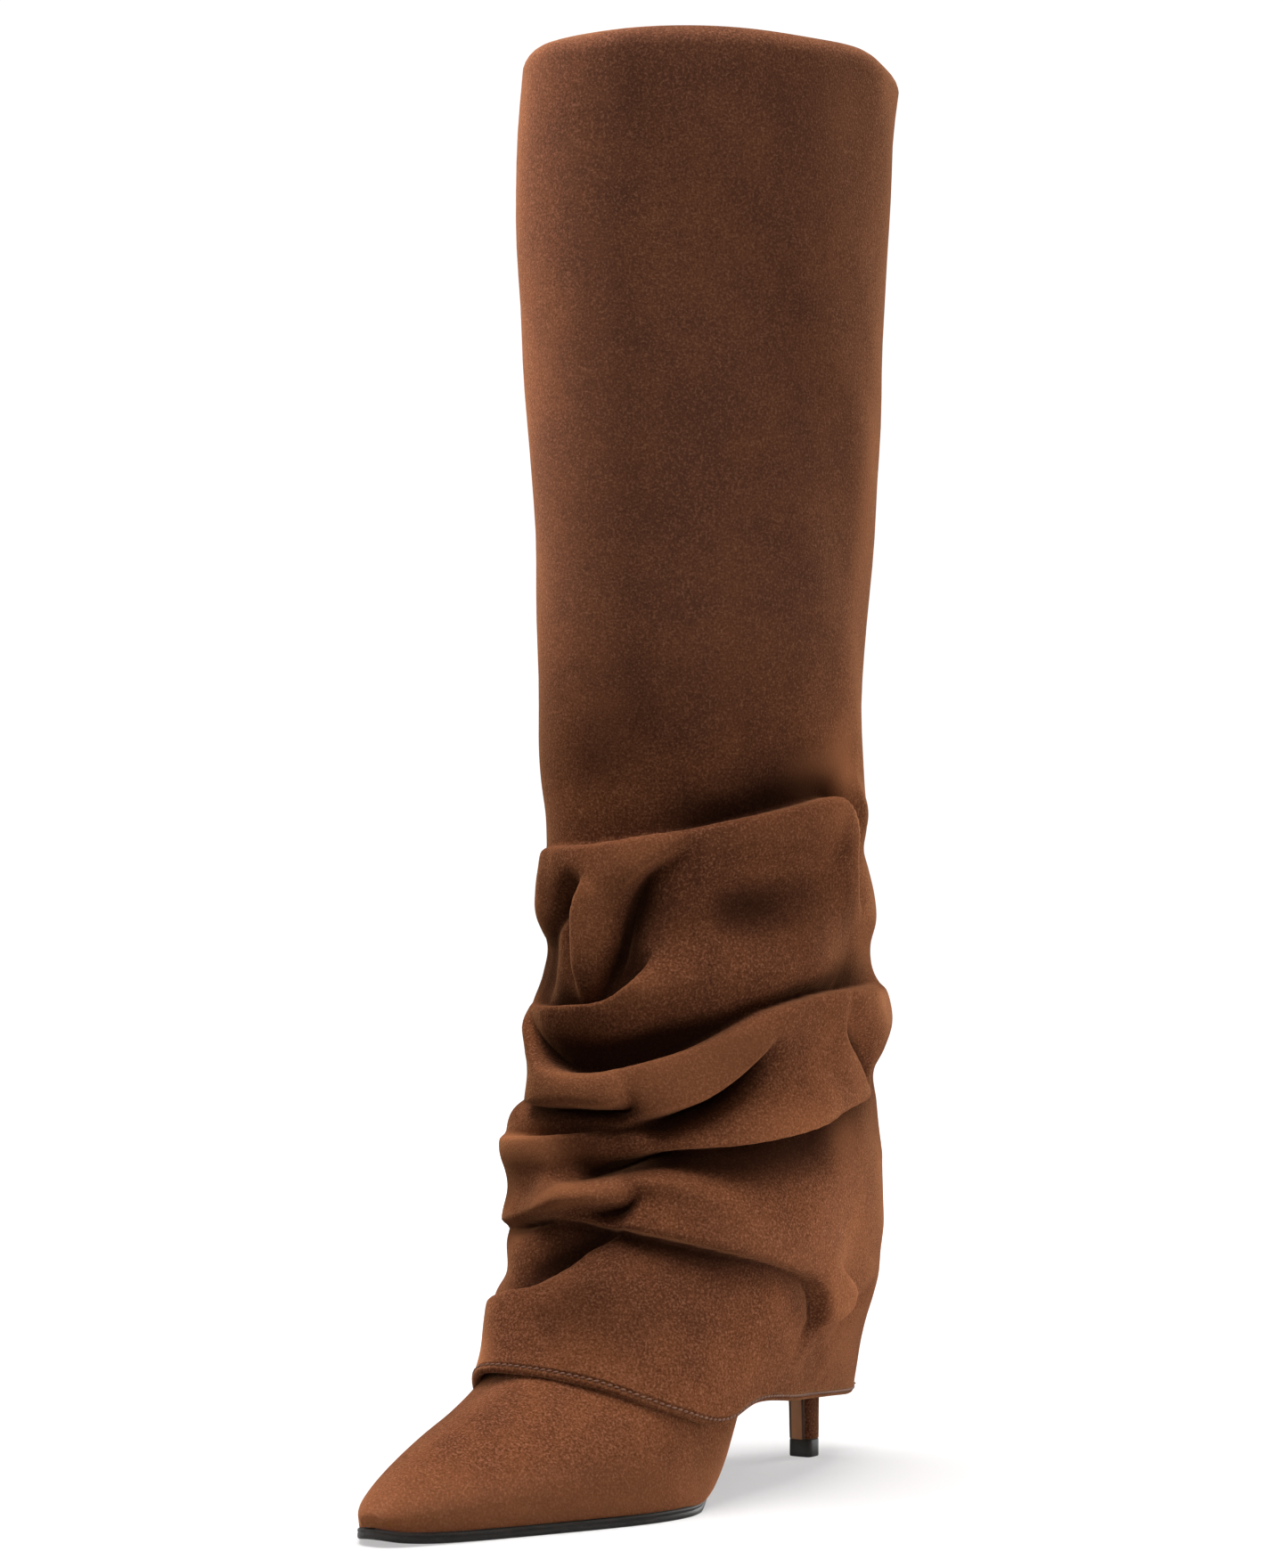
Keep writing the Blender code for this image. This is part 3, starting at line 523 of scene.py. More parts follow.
def place(points):
    """Points of the boot, in millimetres, in the frame's metres."""
    return (np.asarray(points, dtype=float) + (0.0, SEAT_SHIFT, 0.0)) * MM


def skin(name, grid, finish, around=False, ring=False, ends=False, marks=None):
    """A mesh object over a grid of points. around joins each row's last point to its first, ring joins
    the last row to the first, ends closes the first and last rows with a face, and marks are named
    numbers that the material reads at each point."""
    rows, columns = grid.shape[:2]
    numbers = np.arange(rows * columns).reshape(rows, columns)
    if around:
        numbers = np.column_stack((numbers, numbers[:, :1]))
    if ring:
        numbers = np.vstack((numbers, numbers[:1]))
    faces = np.stack((numbers[:-1, :-1], numbers[:-1, 1:], numbers[1:, 1:], numbers[1:, :-1]), axis=-1)
    faces = faces.reshape(-1, 4).tolist()
    if ends:
        faces.append(list(range(columns))[::-1])
        faces.append(list(range((rows - 1) * columns, rows * columns)))
    mesh = bpy.data.meshes.new(name)
    mesh.from_pydata(place(grid.reshape(-1, 3)).tolist(), [], faces)
    for mark, values in (marks or {}).items():
        mesh.attributes.new(mark, "FLOAT", "POINT").data.foreach_set("value", values.ravel().astype("f"))
    shape = bmesh.new()
    shape.from_mesh(mesh)
    bmesh.ops.remove_doubles(shape, verts=shape.verts, dist=WELD_DISTANCE * MM)
    shape.to_mesh(mesh)
    shape.free()
    mesh.shade_smooth()
    mesh.materials.append(finish)
    made = bpy.data.objects.new(name, mesh)
    bpy.context.scene.collection.objects.link(made)
    return made


def wall(made, thickness):
    """Give an open surface its thickness, inwards from the surface that was drawn."""
    solid = made.modifiers.new("Wall", "SOLIDIFY")
    solid.thickness = thickness * MM
    solid.offset = -1.0
    solid.use_even_offset = False
    with bpy.context.temp_override(object=made, active_object=made, selected_objects=[made]):
        bpy.ops.object.modifier_apply(modifier=solid.name)


def settle(piece, node):
    """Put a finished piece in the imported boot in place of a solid."""
    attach(piece, BODY)
    if node:
        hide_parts(node)


def oval(turn, height):
    """Points of the sleeve's level sections, at angles turn (degrees, a row) and heights (a column)."""
    section = Oval(*np.moveaxis(through(SLEEVE, height.ravel()), 1, 0)[..., None])
    sideways, forward = np.sin(np.radians(turn)), np.cos(np.radians(turn))
    reach = np.where(forward > 0, section.front, section.back)
    power = np.where(forward > 0, section.front_power, section.back_power)
    round_out = (np.abs(sideways) / section.half_width) ** power + (np.abs(forward) / reach) ** power
    out = round_out ** (-1 / power)
    return np.stack((sideways * out, section.centre_y - forward * out, height + 0 * out), axis=-1)


def fold_moves(fold, turn, height):
    """How far one fold moves the leather out, round and up, at points given by turn and height."""
    path = along(fold.path, np.linspace(0, len(fold.path) - 1, PATH_SAMPLES))
    out = np.zeros(turn.shape)
    sideways = np.zeros(turn.shape)
    upward = np.zeros(turn.shape)
    low, high = path.min(axis=0) - FOLD_REACH, path.max(axis=0) + FOLD_REACH
    for lap in (-360.0, 0.0, 360.0):
        near = ((turn + lap > low[0]) & (turn + lap < high[0]) & (height > low[1]) & (height < high[1]))
        if not near.any():
            continue
        at_turn, at_height = turn[near] + lap, height[near]
        best = np.full(at_turn.shape, np.inf)
        beyond = np.zeros(at_turn.shape)
        strength = np.zeros(at_turn.shape)
        across = np.zeros((2,) + at_turn.shape)
        for start, end in zip(path, path[1:]):
            run = (end - start)[:2]
            length = np.hypot(*run)
            from_turn, from_height = at_turn - start[0], at_height - start[1]
            t = np.clip((from_turn * run[0] + from_height * run[1]) / length ** 2, 0.0, 1.0)
            distance = np.hypot(from_turn - t * run[0], from_height - t * run[1])
            nearer = distance < best
            side = np.sign(run[0] * from_height - run[1] * from_turn)
            best = np.where(nearer, distance, best)
            beyond = np.where(nearer, side * distance, beyond)
            strength = np.where(nearer, start[2] + t * (end - start)[2], strength)
            across = np.where(nearer, np.array((-run[1], run[0]))[:, None] / length, across)
        if fold.lip:
            beyond = beyond * fold.lip
            rise = np.sin(np.clip(-beyond / fold.roll, 0.0, 1.0) * np.pi / 2)
            past = np.maximum(-beyond - fold.roll, 0.0)
            ridge = rise * np.exp(-(past / fold.ridge_width) ** 2)
            trough = (1.0 - rise) * np.exp(-np.maximum(beyond, 0.0) / fold.trough_width)
            lap_over = strength * fold.lip * fold.curl * rise * np.exp(-(past / fold.roll) ** 2)
            sideways[near] += across[0] * lap_over
            upward[near] += across[1] * lap_over
        else:
            ridge = np.exp(-(beyond / fold.ridge_width) ** 2)
            trough = np.exp(-(beyond / fold.trough_width) ** 2)
        out[near] += strength * (fold.ridge * ridge - fold.trough * trough)
    return np.stack((out, sideways, upward))


def unit(vectors):
    """Vectors of length one."""
    return vectors / np.maximum(np.linalg.norm(vectors, axis=-1, keepdims=True), TINY)


def grid_ways(grid):
    """Round, up and out directions of a grid whose rows run round the leg, each above the last."""
    round_leg = unit(np.roll(grid, -1, axis=1) - np.roll(grid, 1, axis=1))
    upward = unit(np.gradient(grid, axis=0))
    return round_leg, upward, unit(np.cross(round_leg, upward))


def soften(grid, passes):
    """Average each point of a grid with its neighbours, the first and last rows left alone."""
    for _ in range(passes):
        sides = np.roll(grid, 1, axis=1) + np.roll(grid, -1, axis=1)
        ends = grid[:-2] + grid[2:]
        inner = grid[1:-1] * 0.5 + (sides[1:-1] + ends) * 0.125
        grid = np.concatenate((grid[:1], inner, grid[-1:]))
    return grid


@functools.cache
def sleeve_face():
    """The sleeve's outer face from the hem up to the rim, how far each point lies out or in, and the bare
    form with its outward directions."""
    turn = SLEEVE_TURNS[None, :]
    level = np.concatenate((np.linspace(0.0, DRAPE_HEIGHT, DRAPE_ROWS, endpoint=False),
                            np.linspace(DRAPE_HEIGHT, SLOUCH_TOP, SLOUCH_ROWS, endpoint=False),
                            np.linspace(SLOUCH_TOP, RIM_CENTRE_HEIGHT, STRAIGHT_ROWS)))[:, None]
    bare = oval(turn, np.maximum(level, DRAPE_HEIGHT))
    hem = through(HEM, turn[0])[:, 1:] + (0.0, 0.0, HEM_ROUND)
    fall = np.clip((DRAPE_HEIGHT - level) / DRAPE_HEIGHT, 0.0, 1.0)[..., None]
    share = np.concatenate((fall * (1 + fall) / 2, fall * (1 + fall) / 2, fall), axis=-1)
    bare = bare + (hem - oval(turn, np.array([[DRAPE_HEIGHT]]))) * share
    height = bare[..., 2]
    every_turn = turn + 0 * height
    moves = sum(fold_moves(fold, every_turn, height) for fold in FOLDS)
    side = Side(*through(SIDES, height.ravel()).T.reshape((3,) + height.shape))
    for stands_out, middle in ((side.inner_front, INNER_FRONT_TURN), (side.outer_back, OUTER_BACK_TURN)):
        moves[0] += stands_out * np.exp(-((every_turn - middle) / SIDE_SPREAD) ** 2)
    for wave in WAVES:
        moves[0] += wave.depth * np.sin(wave.round_turns * np.radians(every_turn) + wave.phase
                                        + 2 * np.pi * height / wave.up_length)
    round_leg, upward, outward = grid_ways(bare)
    out, sideways, up = moves[..., None]
    face = bare + outward * out + round_leg * sideways + upward * up
    return soften(face, SMOOTHING_PASSES), moves[0], bare, outward


def from_hem(face):
    """How far each point of the sleeve's face lies from the hem's edge, along the leather."""
    steps = np.linalg.norm(np.diff(face, axis=0, prepend=face[:1]), axis=-1)
    return HEM_ROUND + np.cumsum(steps, axis=0)


def painted_light_and_shade(turn, height):
    """How much light or shade is painted on the sleeve at points given by turn and height."""
    return sum(patch.amount * np.exp(-((turn - patch.turn) / patch.round) ** 2
                                     - ((height - patch.height) / patch.up) ** 2) for patch in LIGHT_AND_SHADE_PATCHES)


def rim_rise(turn):
    """How far the rim stands above or below its level."""
    lean = RIM_TILT * np.sin(np.radians(RIM_TILT_TURN - turn))
    return lean + RIM_LIFT * np.exp(-((turn - RIM_LIFT_TURN) / RIM_LIFT_SPREAD) ** 2)


def least_near(depth):
    """The least depth in the neighbourhood of each point, for the inner face to keep under."""
    least = depth.copy()
    for step in range(1, INNER_REACH + 1):
        least[step:] = np.minimum(least[step:], depth[:-step])
        least[:-step] = np.minimum(least[:-step], depth[step:])
    for step in INNER_SIDE_STEPS:
        least = np.minimum(least, np.roll(least, step, axis=1))
    return least


def sleeve_rows(sizes):
    """Every row of the sleeve's closed wall: up its outer face, over the rim, down the facing, back up
    the underside, down the inner face and round the hem. Also the marks that its material reads: how deep
    each point lies in the folds, how far it is from the hem, and how much light or shade is painted on it."""
    face, depth, bare, outward = sleeve_face()
    thin = sizes.sleeve_wall / MM
    thick = sizes.hem_wall / MM
    inward = unit(-outward[-1] * (1, 1, 0))
    top = face[-1] + np.outer(rim_rise(SLEEVE_TURNS), (0, 0, 1))
    rows = list(face)
    bend = np.linspace(0.0, np.pi, RIM_ROWS + 1)[1:]
    drops = np.linspace(0.0, FACING_DEPTH, FACING_ROWS + 1)[1:]
    for angle in bend:
        rows.append(top + inward * RIM_RADIUS * (1 - np.cos(angle)) + (0, 0, RIM_RADIUS * np.sin(angle)))
    for drop in drops:
        rows.append(top + inward * 2 * RIM_RADIUS - (0, 0, drop))
    for drop in drops[::-1]:
        rows.append(top + inward * (2 * RIM_RADIUS - thin) - (0, 0, drop))
    under = RIM_RADIUS - thin
    for angle in bend[::-1]:
        rows.append(top + inward * (RIM_RADIUS - under * np.cos(angle)) + (0, 0, under * np.sin(angle)))
    calm = least_near(depth)
    chosen = np.unique(np.round(np.linspace(0, len(face) - 1, INNER_ROWS)).astype(int))[::-1]
    for number in chosen:
        drop = thick + (thin - thick) * ease(0.0, HEM_THIN_ROWS, float(number))
        rows.append(bare[number] + outward[number] * (calm[number] - drop)[..., None])
    first, last = rows[-1], rows[0]
    middle, across = (first + last) / 2, (first - last) / 2
    down = unit(face[0] - face[1]) * np.linalg.norm(across, axis=-1, keepdims=True)
    for angle in np.linspace(0.0, np.pi, HEM_ROWS + 2)[1:-1]:
        rows.append(middle + across * np.cos(angle) + down * np.sin(angle))
    edge = from_hem(face)
    unmarked = [np.zeros(SLEEVE_COLUMNS)]
    inside = len(rows) - len(face)
    far = [edge[-1]] * (inside - HEM_ROWS)
    # The nap mark holds the painted light and shade of the patches.
    marks = {"fold": np.array(list(depth) + unmarked * inside),
             "hem": np.array(list(edge) + far + unmarked * HEM_ROWS),
             "nap": np.array(list(painted_light_and_shade(SLEEVE_TURNS, bare[..., 2])) + unmarked * inside)}
    return np.array(rows), marks


def stitch_line(from_edge):
    """A closed line on the sleeve at a distance from the hem's edge, and the way its stitches lie."""
    face, _, _, outward = sleeve_face()
    run = from_hem(face)
    line = np.array([[np.interp(from_edge, run[:, column], face[:, column, axis]) for axis in range(3)]
                     for column in range(SLEEVE_COLUMNS)])
    forward = unit(np.roll(line, -1, axis=0) - np.roll(line, 1, axis=0))
    upward = np.cross(outward[1], forward)
    return line + outward[1] * STITCH_LIFT, forward + upward * STITCH_SLANT


def arch(row):
    """Points of the upper's outer face across one section, from the inner edge over the ridge to the
    outer edge. Past the heel seat the two edges meet and the section is a closed ring."""
    section = Last(*along(LAST, row)[0])
    middle = (section.lateral_edge - section.medial_edge) / 2
    half = max((section.lateral_edge + section.medial_edge) / 2, 0.0)
    ridge_x = (section.lateral_side - section.medial_side) / 2
    bottom = np.array((section.bottom_y, section.bottom_z + FIT_GAP))
    ridge = np.array((section.ridge_y, section.ridge_z))
    sides = []
    for edge, side in ((middle - half, -section.medial_side), (middle + half, section.lateral_side)):
        upper = np.linspace(0.0, np.pi / 2, ARCH_TOP_POINTS)
        lower = np.linspace(0.0, np.pi / 2, ARCH_SIDE_POINTS + 1)[1:]
        power = 2 / section.power
        x = np.concatenate((ridge_x + (side - ridge_x) * np.sin(upper) ** power,
                            edge + (side - edge) * np.cos(lower)))
        up = np.concatenate((section.widest + (1 - section.widest) * np.cos(upper) ** power,
                             section.widest * (1 - np.sin(lower))))
        flat = bottom + up[:, None] * (ridge - bottom)
        sides.append(np.column_stack((x, flat)))
    medial, lateral = sides
    return np.concatenate((medial[::-1], lateral[1:]))


def rounded(value, power):
    """A sine or cosine bent to a squarer curve."""
    return np.sign(value) * np.abs(value) ** power


def leg_ring(section):
    """One closed ring of the leg tube, lying in the plane through its back and front points."""
    section = Ring(*section)
    turn = np.linspace(0.0, 2 * np.pi, SHAFT_COLUMNS, endpoint=False)
    across = rounded(np.sin(turn), 2 / section.power)
    forward = rounded(np.cos(turn), 2 / section.power)
    front = np.array((section.front_y, section.front_z))
    back = np.array((section.back_y, section.back_z))
    flat = (front + back) / 2 + forward[:, None] * (front - back) / 2
    return np.column_stack((across * section.half_width, flat))


def d_ring(breast_y, breast_z, back_y, back_z, half_width, inset=0.0):
    """One D-shaped ring of the heel: flat at the breast, round at the back."""
    turn = np.linspace(0.0, 2 * np.pi, HEEL_COLUMNS, endpoint=False)
    power = np.where(np.cos(turn) > 0, 2 / BREAST_POWER, 1.0)
    across = rounded(np.sin(turn), power)
    forward = rounded(np.cos(turn), power)
    shrink = 1.0 - inset / half_width
    share = (1 + forward * shrink) / 2
    return np.column_stack((across * half_width * shrink, back_y + share * (breast_y - back_y),
                            back_z + share * (breast_z - back_z)))


def sole_edges(rows, inset):
    """Inner and outer edge of the sole's top at row numbers of the last, drawn in by inset."""
    last = Last(*along(LAST, rows).T)
    middle = (last.lateral_edge - last.medial_edge) / 2
    ledge = SOLE_LEDGE - WAIST_SET_BACK * ease(*WAIST_ROWS, rows)
    half = np.maximum((last.lateral_edge + last.medial_edge) / 2 + ledge - inset, FIT_GAP)
    towards_heel = ease(TOE_ROWS, 0.0, rows) - ease(SEAT_ROW, HEEL_END_ROW, rows)
    y = last.bottom_y + (inset - SOLE_LEDGE) * towards_heel
    top = np.maximum(last.bottom_z, SOLE_THICKNESS)
    return np.column_stack((middle - half, y, top)), np.column_stack((middle + half, y, top))


def sole_slab(name, rows, inset, profile, finish):
    """A layer of the sole. profile gives, from the middle of the top round the edge to the middle of the
    bottom, how far each line of the edge is drawn in and how high it lies."""
    lines = []
    for drawn_in, height in profile:
        medial, lateral = sole_edges(rows, inset + drawn_in)
        lines.append((medial + (0, 0, height), lateral + (0, 0, height)))
    across = [line[0] for line in lines[::-1]] + [line[1] for line in lines]
    grid = np.stack(across, axis=1)
    return skin(name, grid, finish, around=True, ends=True)


def add_node(tree, kind, settings=None, sockets=None):
    """Add a node to a tree: its settings first, then the values or links of its sockets."""
    made = tree.nodes.new(kind)
    for name, value in (settings or {}).items():
        setattr(made, name, value)
    for name, value in (sockets or {}).items():
        socket = next(each for each in made.inputs
                      if each.enabled and name in (each.identifier, each.name))
        if isinstance(value, bpy.types.NodeSocket):
            tree.links.new(value, socket)
        else:
            socket.default_value = value
    return made


class Value:
    """A number in a node tree. Sums, differences and products of such numbers add Math nodes."""

    def __init__(self, recipe, socket):
        self.recipe = recipe
        self.socket = socket

    def __add__(self, other):
        return self.recipe.maths("ADD", self, other)

    def __sub__(self, other):
        return self.recipe.maths("SUBTRACT", self, other)

    def __rsub__(self, other):
        return self.recipe.maths("SUBTRACT", other, self)

    def __mul__(self, other):
        return self.recipe.maths("MULTIPLY", self, other)

    __radd__ = __add__
    __rmul__ = __mul__


class Recipe:
    """A material, or the world, and the node tree that gives its look."""

    def __init__(self, owner):
        self.owner = owner
        owner.use_nodes = True
        self.tree = owner.node_tree
        self.tree.nodes.clear()

    def node(self, kind, settings=None, sockets=None, output=None):
        """Add a node and hand back its named output, or its first one."""
        linked = {name: getattr(value, "socket", value) for name, value in (sockets or {}).items()}
        made = add_node(self.tree, kind, settings, linked)
        shown = [each for each in made.outputs if each.enabled and output in (None, each.name)]
        return Value(self, shown[0]) if shown else made

    def maths(self, operation, left, right):
        return self.node("ShaderNodeMath", {"operation": operation}, {"Value": left, "Value_001": right})

    def mix(self, factor, first, second):
        """A colour between two colours."""
        return self.node("ShaderNodeMix", {"data_type": "RGBA"},
                         {"Factor_Float": factor, "A_Color": first, "B_Color": second}, "Result")

    def place(self):
        return self.node("ShaderNodeTexCoord", output="Object")

    def mark(self, name):
        """A number that the mesh carries at its points."""
        return self.node("ShaderNodeAttribute", {"attribute_name": name}, output="Fac")

    def cloud(self, size, detail, roughness):
        """Soft noise with spots about size metres across, from 0 to 1."""
        sockets = {"Vector": self.place(), "Scale": 1.0 / size, "Detail": detail, "Roughness": roughness}
        return self.node("ShaderNodeTexNoise", sockets=sockets, output="Fac")

    def step(self, value, low, high):
        """A smooth step of a value from 0 at low to 1 at high."""
        return self.node("ShaderNodeMapRange", {"interpolation_type": "SMOOTHSTEP"},
                         {"Value": value, "From Min": low, "From Max": high})

    def bump(self, height, depth, strength, below=None):
        """Relief of the given depth in metres."""
        sockets = {"Height": height, "Distance": depth, "Strength": strength}
        if below:
            sockets["Normal"] = below
        return self.node("ShaderNodeBump", sockets=sockets)

    def finish(self, sockets):
        """Close the recipe with the main shader."""
        shader = self.node("ShaderNodeBsdfPrincipled", sockets=sockets)
        self.node("ShaderNodeOutputMaterial", sockets={"Surface": shader})
        return self.owner


def rgba(colour, strength=1.0):
    """A colour with its alpha, made darker or lighter by strength."""
    return (*(part * strength for part in colour), 1.0)


def new_material(name):
    return Recipe(bpy.data.materials.new(name))


def suede(name, colours, sizes, folded=False, soled=False):
    """Brown suede with a short nap: cloudy patches where the nap lies differently and fine light fibres.
    A folded piece has patches of painted light and shade, painted shade down in its folds, ridges lighter
    with wear and a painted highlight, a painted grey haze up the straight leg, and a groove along its
    stitches; a soled one has painted light, paler along the sole."""
    recipe = new_material(name)
    clouds = recipe.cloud(size=0.045, detail=3.0, roughness=0.55)
    brushed = recipe.cloud(size=0.012, detail=3.0, roughness=0.6)
    fibres = recipe.cloud(size=sizes.nap_size, detail=3.0, roughness=0.65)
    patches = recipe.step(clouds * 0.65 + brushed * 0.35, low=0.34, high=0.68)
    tone = recipe.mix(patches, rgba(colours.suede_dark), rgba(colours.suede_mid))
    flecks = recipe.step(fibres, low=0.48, high=0.70)
    tone = recipe.mix(flecks * FLECK_SHARE, tone, rgba(colours.suede_light))
    pits = recipe.step(fibres, low=0.50, high=0.30)
    tone = recipe.mix(pits * PIT_SHARE, tone, rgba(colours.suede_pit_and_shade))
    if folded:
        # Painted light and shade in patches, carried by the nap mark.
        nap = recipe.mark("nap")
        tone = recipe.mix(recipe.step(nap, low=0.0, high=-1.0), tone, rgba(colours.suede_pit_and_shade))
        tone = recipe.mix(recipe.step(nap, low=0.0, high=1.0), tone, rgba(colours.suede_worn_and_lit))
        depth = recipe.mark("fold")
        # Painted shade: darker the deeper a point lies in a fold's crease.
        hollow = recipe.step(depth, low=-0.4, high=-5.5)
        tone = recipe.mix(hollow * CREASE_SHADE_SHARE, tone, rgba(colours.suede_pit_and_shade))
        # Ridges of the folds lighter: partly worn nap, partly a painted highlight.
        ridge_wear_and_highlight = recipe.step(depth, low=2.0, high=7.5)
        tone = recipe.mix(ridge_wear_and_highlight * RIDGE_WEAR_AND_HIGHLIGHT_SHARE, tone, rgba(colours.suede_worn_and_lit))
        # Painted grey haze of light up the straight leg, set by height.
        height = recipe.node("ShaderNodeSeparateXYZ", sockets={"Vector": recipe.place()}, output="Z")
        leg = recipe.step(height, low=0.215, high=0.285)
        tone = recipe.mix(leg * LEG_HAZE_SHARE, tone, rgba(colours.suede_haze_grey))
    if soled:
        # Painted light: paler the nearer the suede lies to the sole.
        rubbed = recipe.step(recipe.mark("rise"), low=20.0, high=1.0)
        tone = recipe.mix(rubbed * SOLE_EDGE_LIGHT_SHARE, tone, rgba(colours.suede_worn_and_lit))
    relief = recipe.bump(fibres, depth=0.0006, strength=0.55)
    relief = recipe.bump(brushed, depth=0.0012, strength=0.16, below=relief)
    if folded:
        hem = recipe.mark("hem")
        seam = sizes.stitch_height / MM
        groove = (recipe.step(hem, low=seam, high=seam - SEAM_BELOW)
                  + recipe.step(hem, low=seam, high=seam + SEAM_ABOVE))
        relief = recipe.bump(groove, depth=0.0009, strength=0.8, below=relief)
        tone = recipe.mix((1.0 - groove) * SEAM_SHARE, tone, rgba(colours.suede_pit_and_shade))
    return recipe.finish({"Base Color": tone, "Roughness": 1.0 - flecks * 0.12, "Normal": relief,
                          "Specular IOR Level": 0.0, "Sheen Weight": 0.30, "Sheen Roughness": 0.25,
                          "Sheen Tint": rgba(colours.sheen)})


def smooth_leather(name, colour, edge_mark=None):
    """Smooth dyed leather with a fine pebble and a low gloss."""
    recipe = new_material(name)
    patches = recipe.cloud(size=0.010, detail=3.0, roughness=0.6)
    pebble = recipe.node("ShaderNodeTexVoronoi", {"feature": "SMOOTH_F1"},
                         {"Vector": recipe.place(), "Scale": 1800.0}, "Distance")
    tone = recipe.mix(patches, rgba(colour, 0.62), rgba(colour))
    if edge_mark:
        line = recipe.step(recipe.mark(edge_mark), low=0.70, high=0.82)
        tone = recipe.mix(line, tone, rgba(colour, 0.10))
    relief = recipe.bump(pebble, depth=0.0002, strength=0.25)
    return recipe.finish({"Base Color": tone, "Roughness": 0.5 + patches * 0.2, "Normal": relief,
                          "Specular IOR Level": 0.15})


def rough_lining(name, colour):
    """The inside of the leg: leather with its flesh side out."""
    recipe = new_material(name)
    patches = recipe.cloud(size=0.030, detail=3.0, roughness=0.6)
    fibres = recipe.cloud(size=0.0012, detail=3.0, roughness=0.7)
    tone = recipe.mix(patches * 0.6 + fibres * 0.4, rgba(colour, 0.55), rgba(colour, 1.4))
    relief = recipe.bump(fibres, depth=0.0006, strength=0.5)
    return recipe.finish({"Base Color": tone, "Roughness": 0.75 + fibres * 0.2, "Normal": relief,
                          "Specular IOR Level": 0.2})


def black_edge(name, colour, gloss):
    """Blacked leather or rubber with faint scuffs along it."""
    recipe = new_material(name)
    scuffs = recipe.cloud(size=0.004, detail=4.0, roughness=0.7)
    fine = recipe.cloud(size=0.0007, detail=2.0, roughness=0.6)
    tone = recipe.mix(scuffs, rgba(colour, 0.6), rgba(colour, 2.2))
    relief = recipe.bump(fine, depth=0.0002, strength=0.2)
    return recipe.finish({"Base Color": tone, "Roughness": gloss + scuffs * 0.2, "Normal": relief,
                          "Specular IOR Level": 0.10})


def waxed_thread(name, colour):
    """The hem's sewing thread, with a fine twist."""
    recipe = new_material(name)
    twist = recipe.cloud(size=0.0004, detail=2.0, roughness=0.6)
    tone = recipe.mix(twist, rgba(colour, 0.6), rgba(colour))
    return recipe.finish({"Base Color": tone, "Roughness": 0.6 + twist * 0.2, "Specular IOR Level": 0.3})


def pale_floor(name, colour):
    """Plain white studio floor, which glows: dimly near the boot, lifting its shadow, and fully white
    farther off.
    """
    recipe = new_material(name)
    haze = recipe.cloud(size=0.5, detail=2.0, roughness=0.5)
    tone = recipe.mix(haze, rgba(colour, 0.985), rgba(colour))
    distance = recipe.node("ShaderNodeVectorMath", {"operation": "LENGTH"}, {"Vector": recipe.place()},
                           "Value")
    far = recipe.step(distance, low=FLOOR_GLOW_FROM, high=FLOOR_GLOW_TO)
    glow = recipe.mix(far, rgba(FLOOR_GLOW), rgba(WHITE))
    return recipe.finish({"Base Color": tone, "Roughness": 0.9, "Specular IOR Level": 0.0,
                          "Emission Color": glow, "Emission Strength": 1.0})


def stitch_tree():
    """Geometry nodes that lay short stitches along a line."""
    tree = bpy.data.node_groups.new("hem_sewing", "GeometryNodeTree")
    for name, kind in (("Line", "Geometry"), ("Pitch", "Float"), ("Length", "Float"), ("Width", "Float"),
                       ("Thread", "Material")):
        tree.interface.new_socket(name, in_out="INPUT", socket_type="NodeSocket" + kind)
    tree.interface.new_socket("Stitches", in_out="OUTPUT", socket_type="NodeSocketGeometry")

    def node(kind, settings=None, sockets=None):
        return add_node(tree, kind, settings, sockets).outputs

    given = node("NodeGroupInput")
    curve = node("GeometryNodeMeshToCurve", sockets={"Mesh": given["Line"]})
    points = node("GeometryNodeCurveToPoints", {"mode": "LENGTH"},
                  {"Curve": curve["Curve"], "Length": given["Pitch"]})
    lay = node("GeometryNodeInputNamedAttribute", {"data_type": "FLOAT_VECTOR"}, {"Name": "lay"})
    turned = node("FunctionNodeAlignRotationToVector", {"axis": "Z"}, {"Vector": lay["Attribute"]})
    stitch = node("GeometryNodeMeshUVSphere",
                  sockets={"Segments": STITCH_SEGMENTS, "Rings": STITCH_RINGS, "Radius": 0.5})
    least, most = STITCH_UNEVEN
    uneven = node("FunctionNodeRandomValue", {"data_type": "FLOAT"},
                  {"Min": least, "Max": most, "Seed": STITCH_SEED})
    size = node("ShaderNodeCombineXYZ",
                sockets={"X": given["Width"], "Y": given["Width"], "Z": given["Length"]})
    uneven_size = node("ShaderNodeVectorMath", {"operation": "SCALE"},
                       {"Vector": size["Vector"], "Scale": uneven["Value"]})
    sewn = node("GeometryNodeInstanceOnPoints", sockets={
        "Points": points["Points"], "Instance": stitch["Mesh"], "Rotation": turned["Rotation"],
        "Scale": uneven_size["Vector"]})
    real = node("GeometryNodeRealizeInstances", sockets={"Geometry": sewn["Instances"]})
    smooth = node("GeometryNodeSetShadeSmooth", sockets={"Geometry": real["Geometry"]})
    dyed = node("GeometryNodeSetMaterial",
                sockets={"Geometry": smooth["Geometry"], "Material": given["Thread"]})
    node("NodeGroupOutput", sockets={"Stitches": dyed["Geometry"]})
    return tree


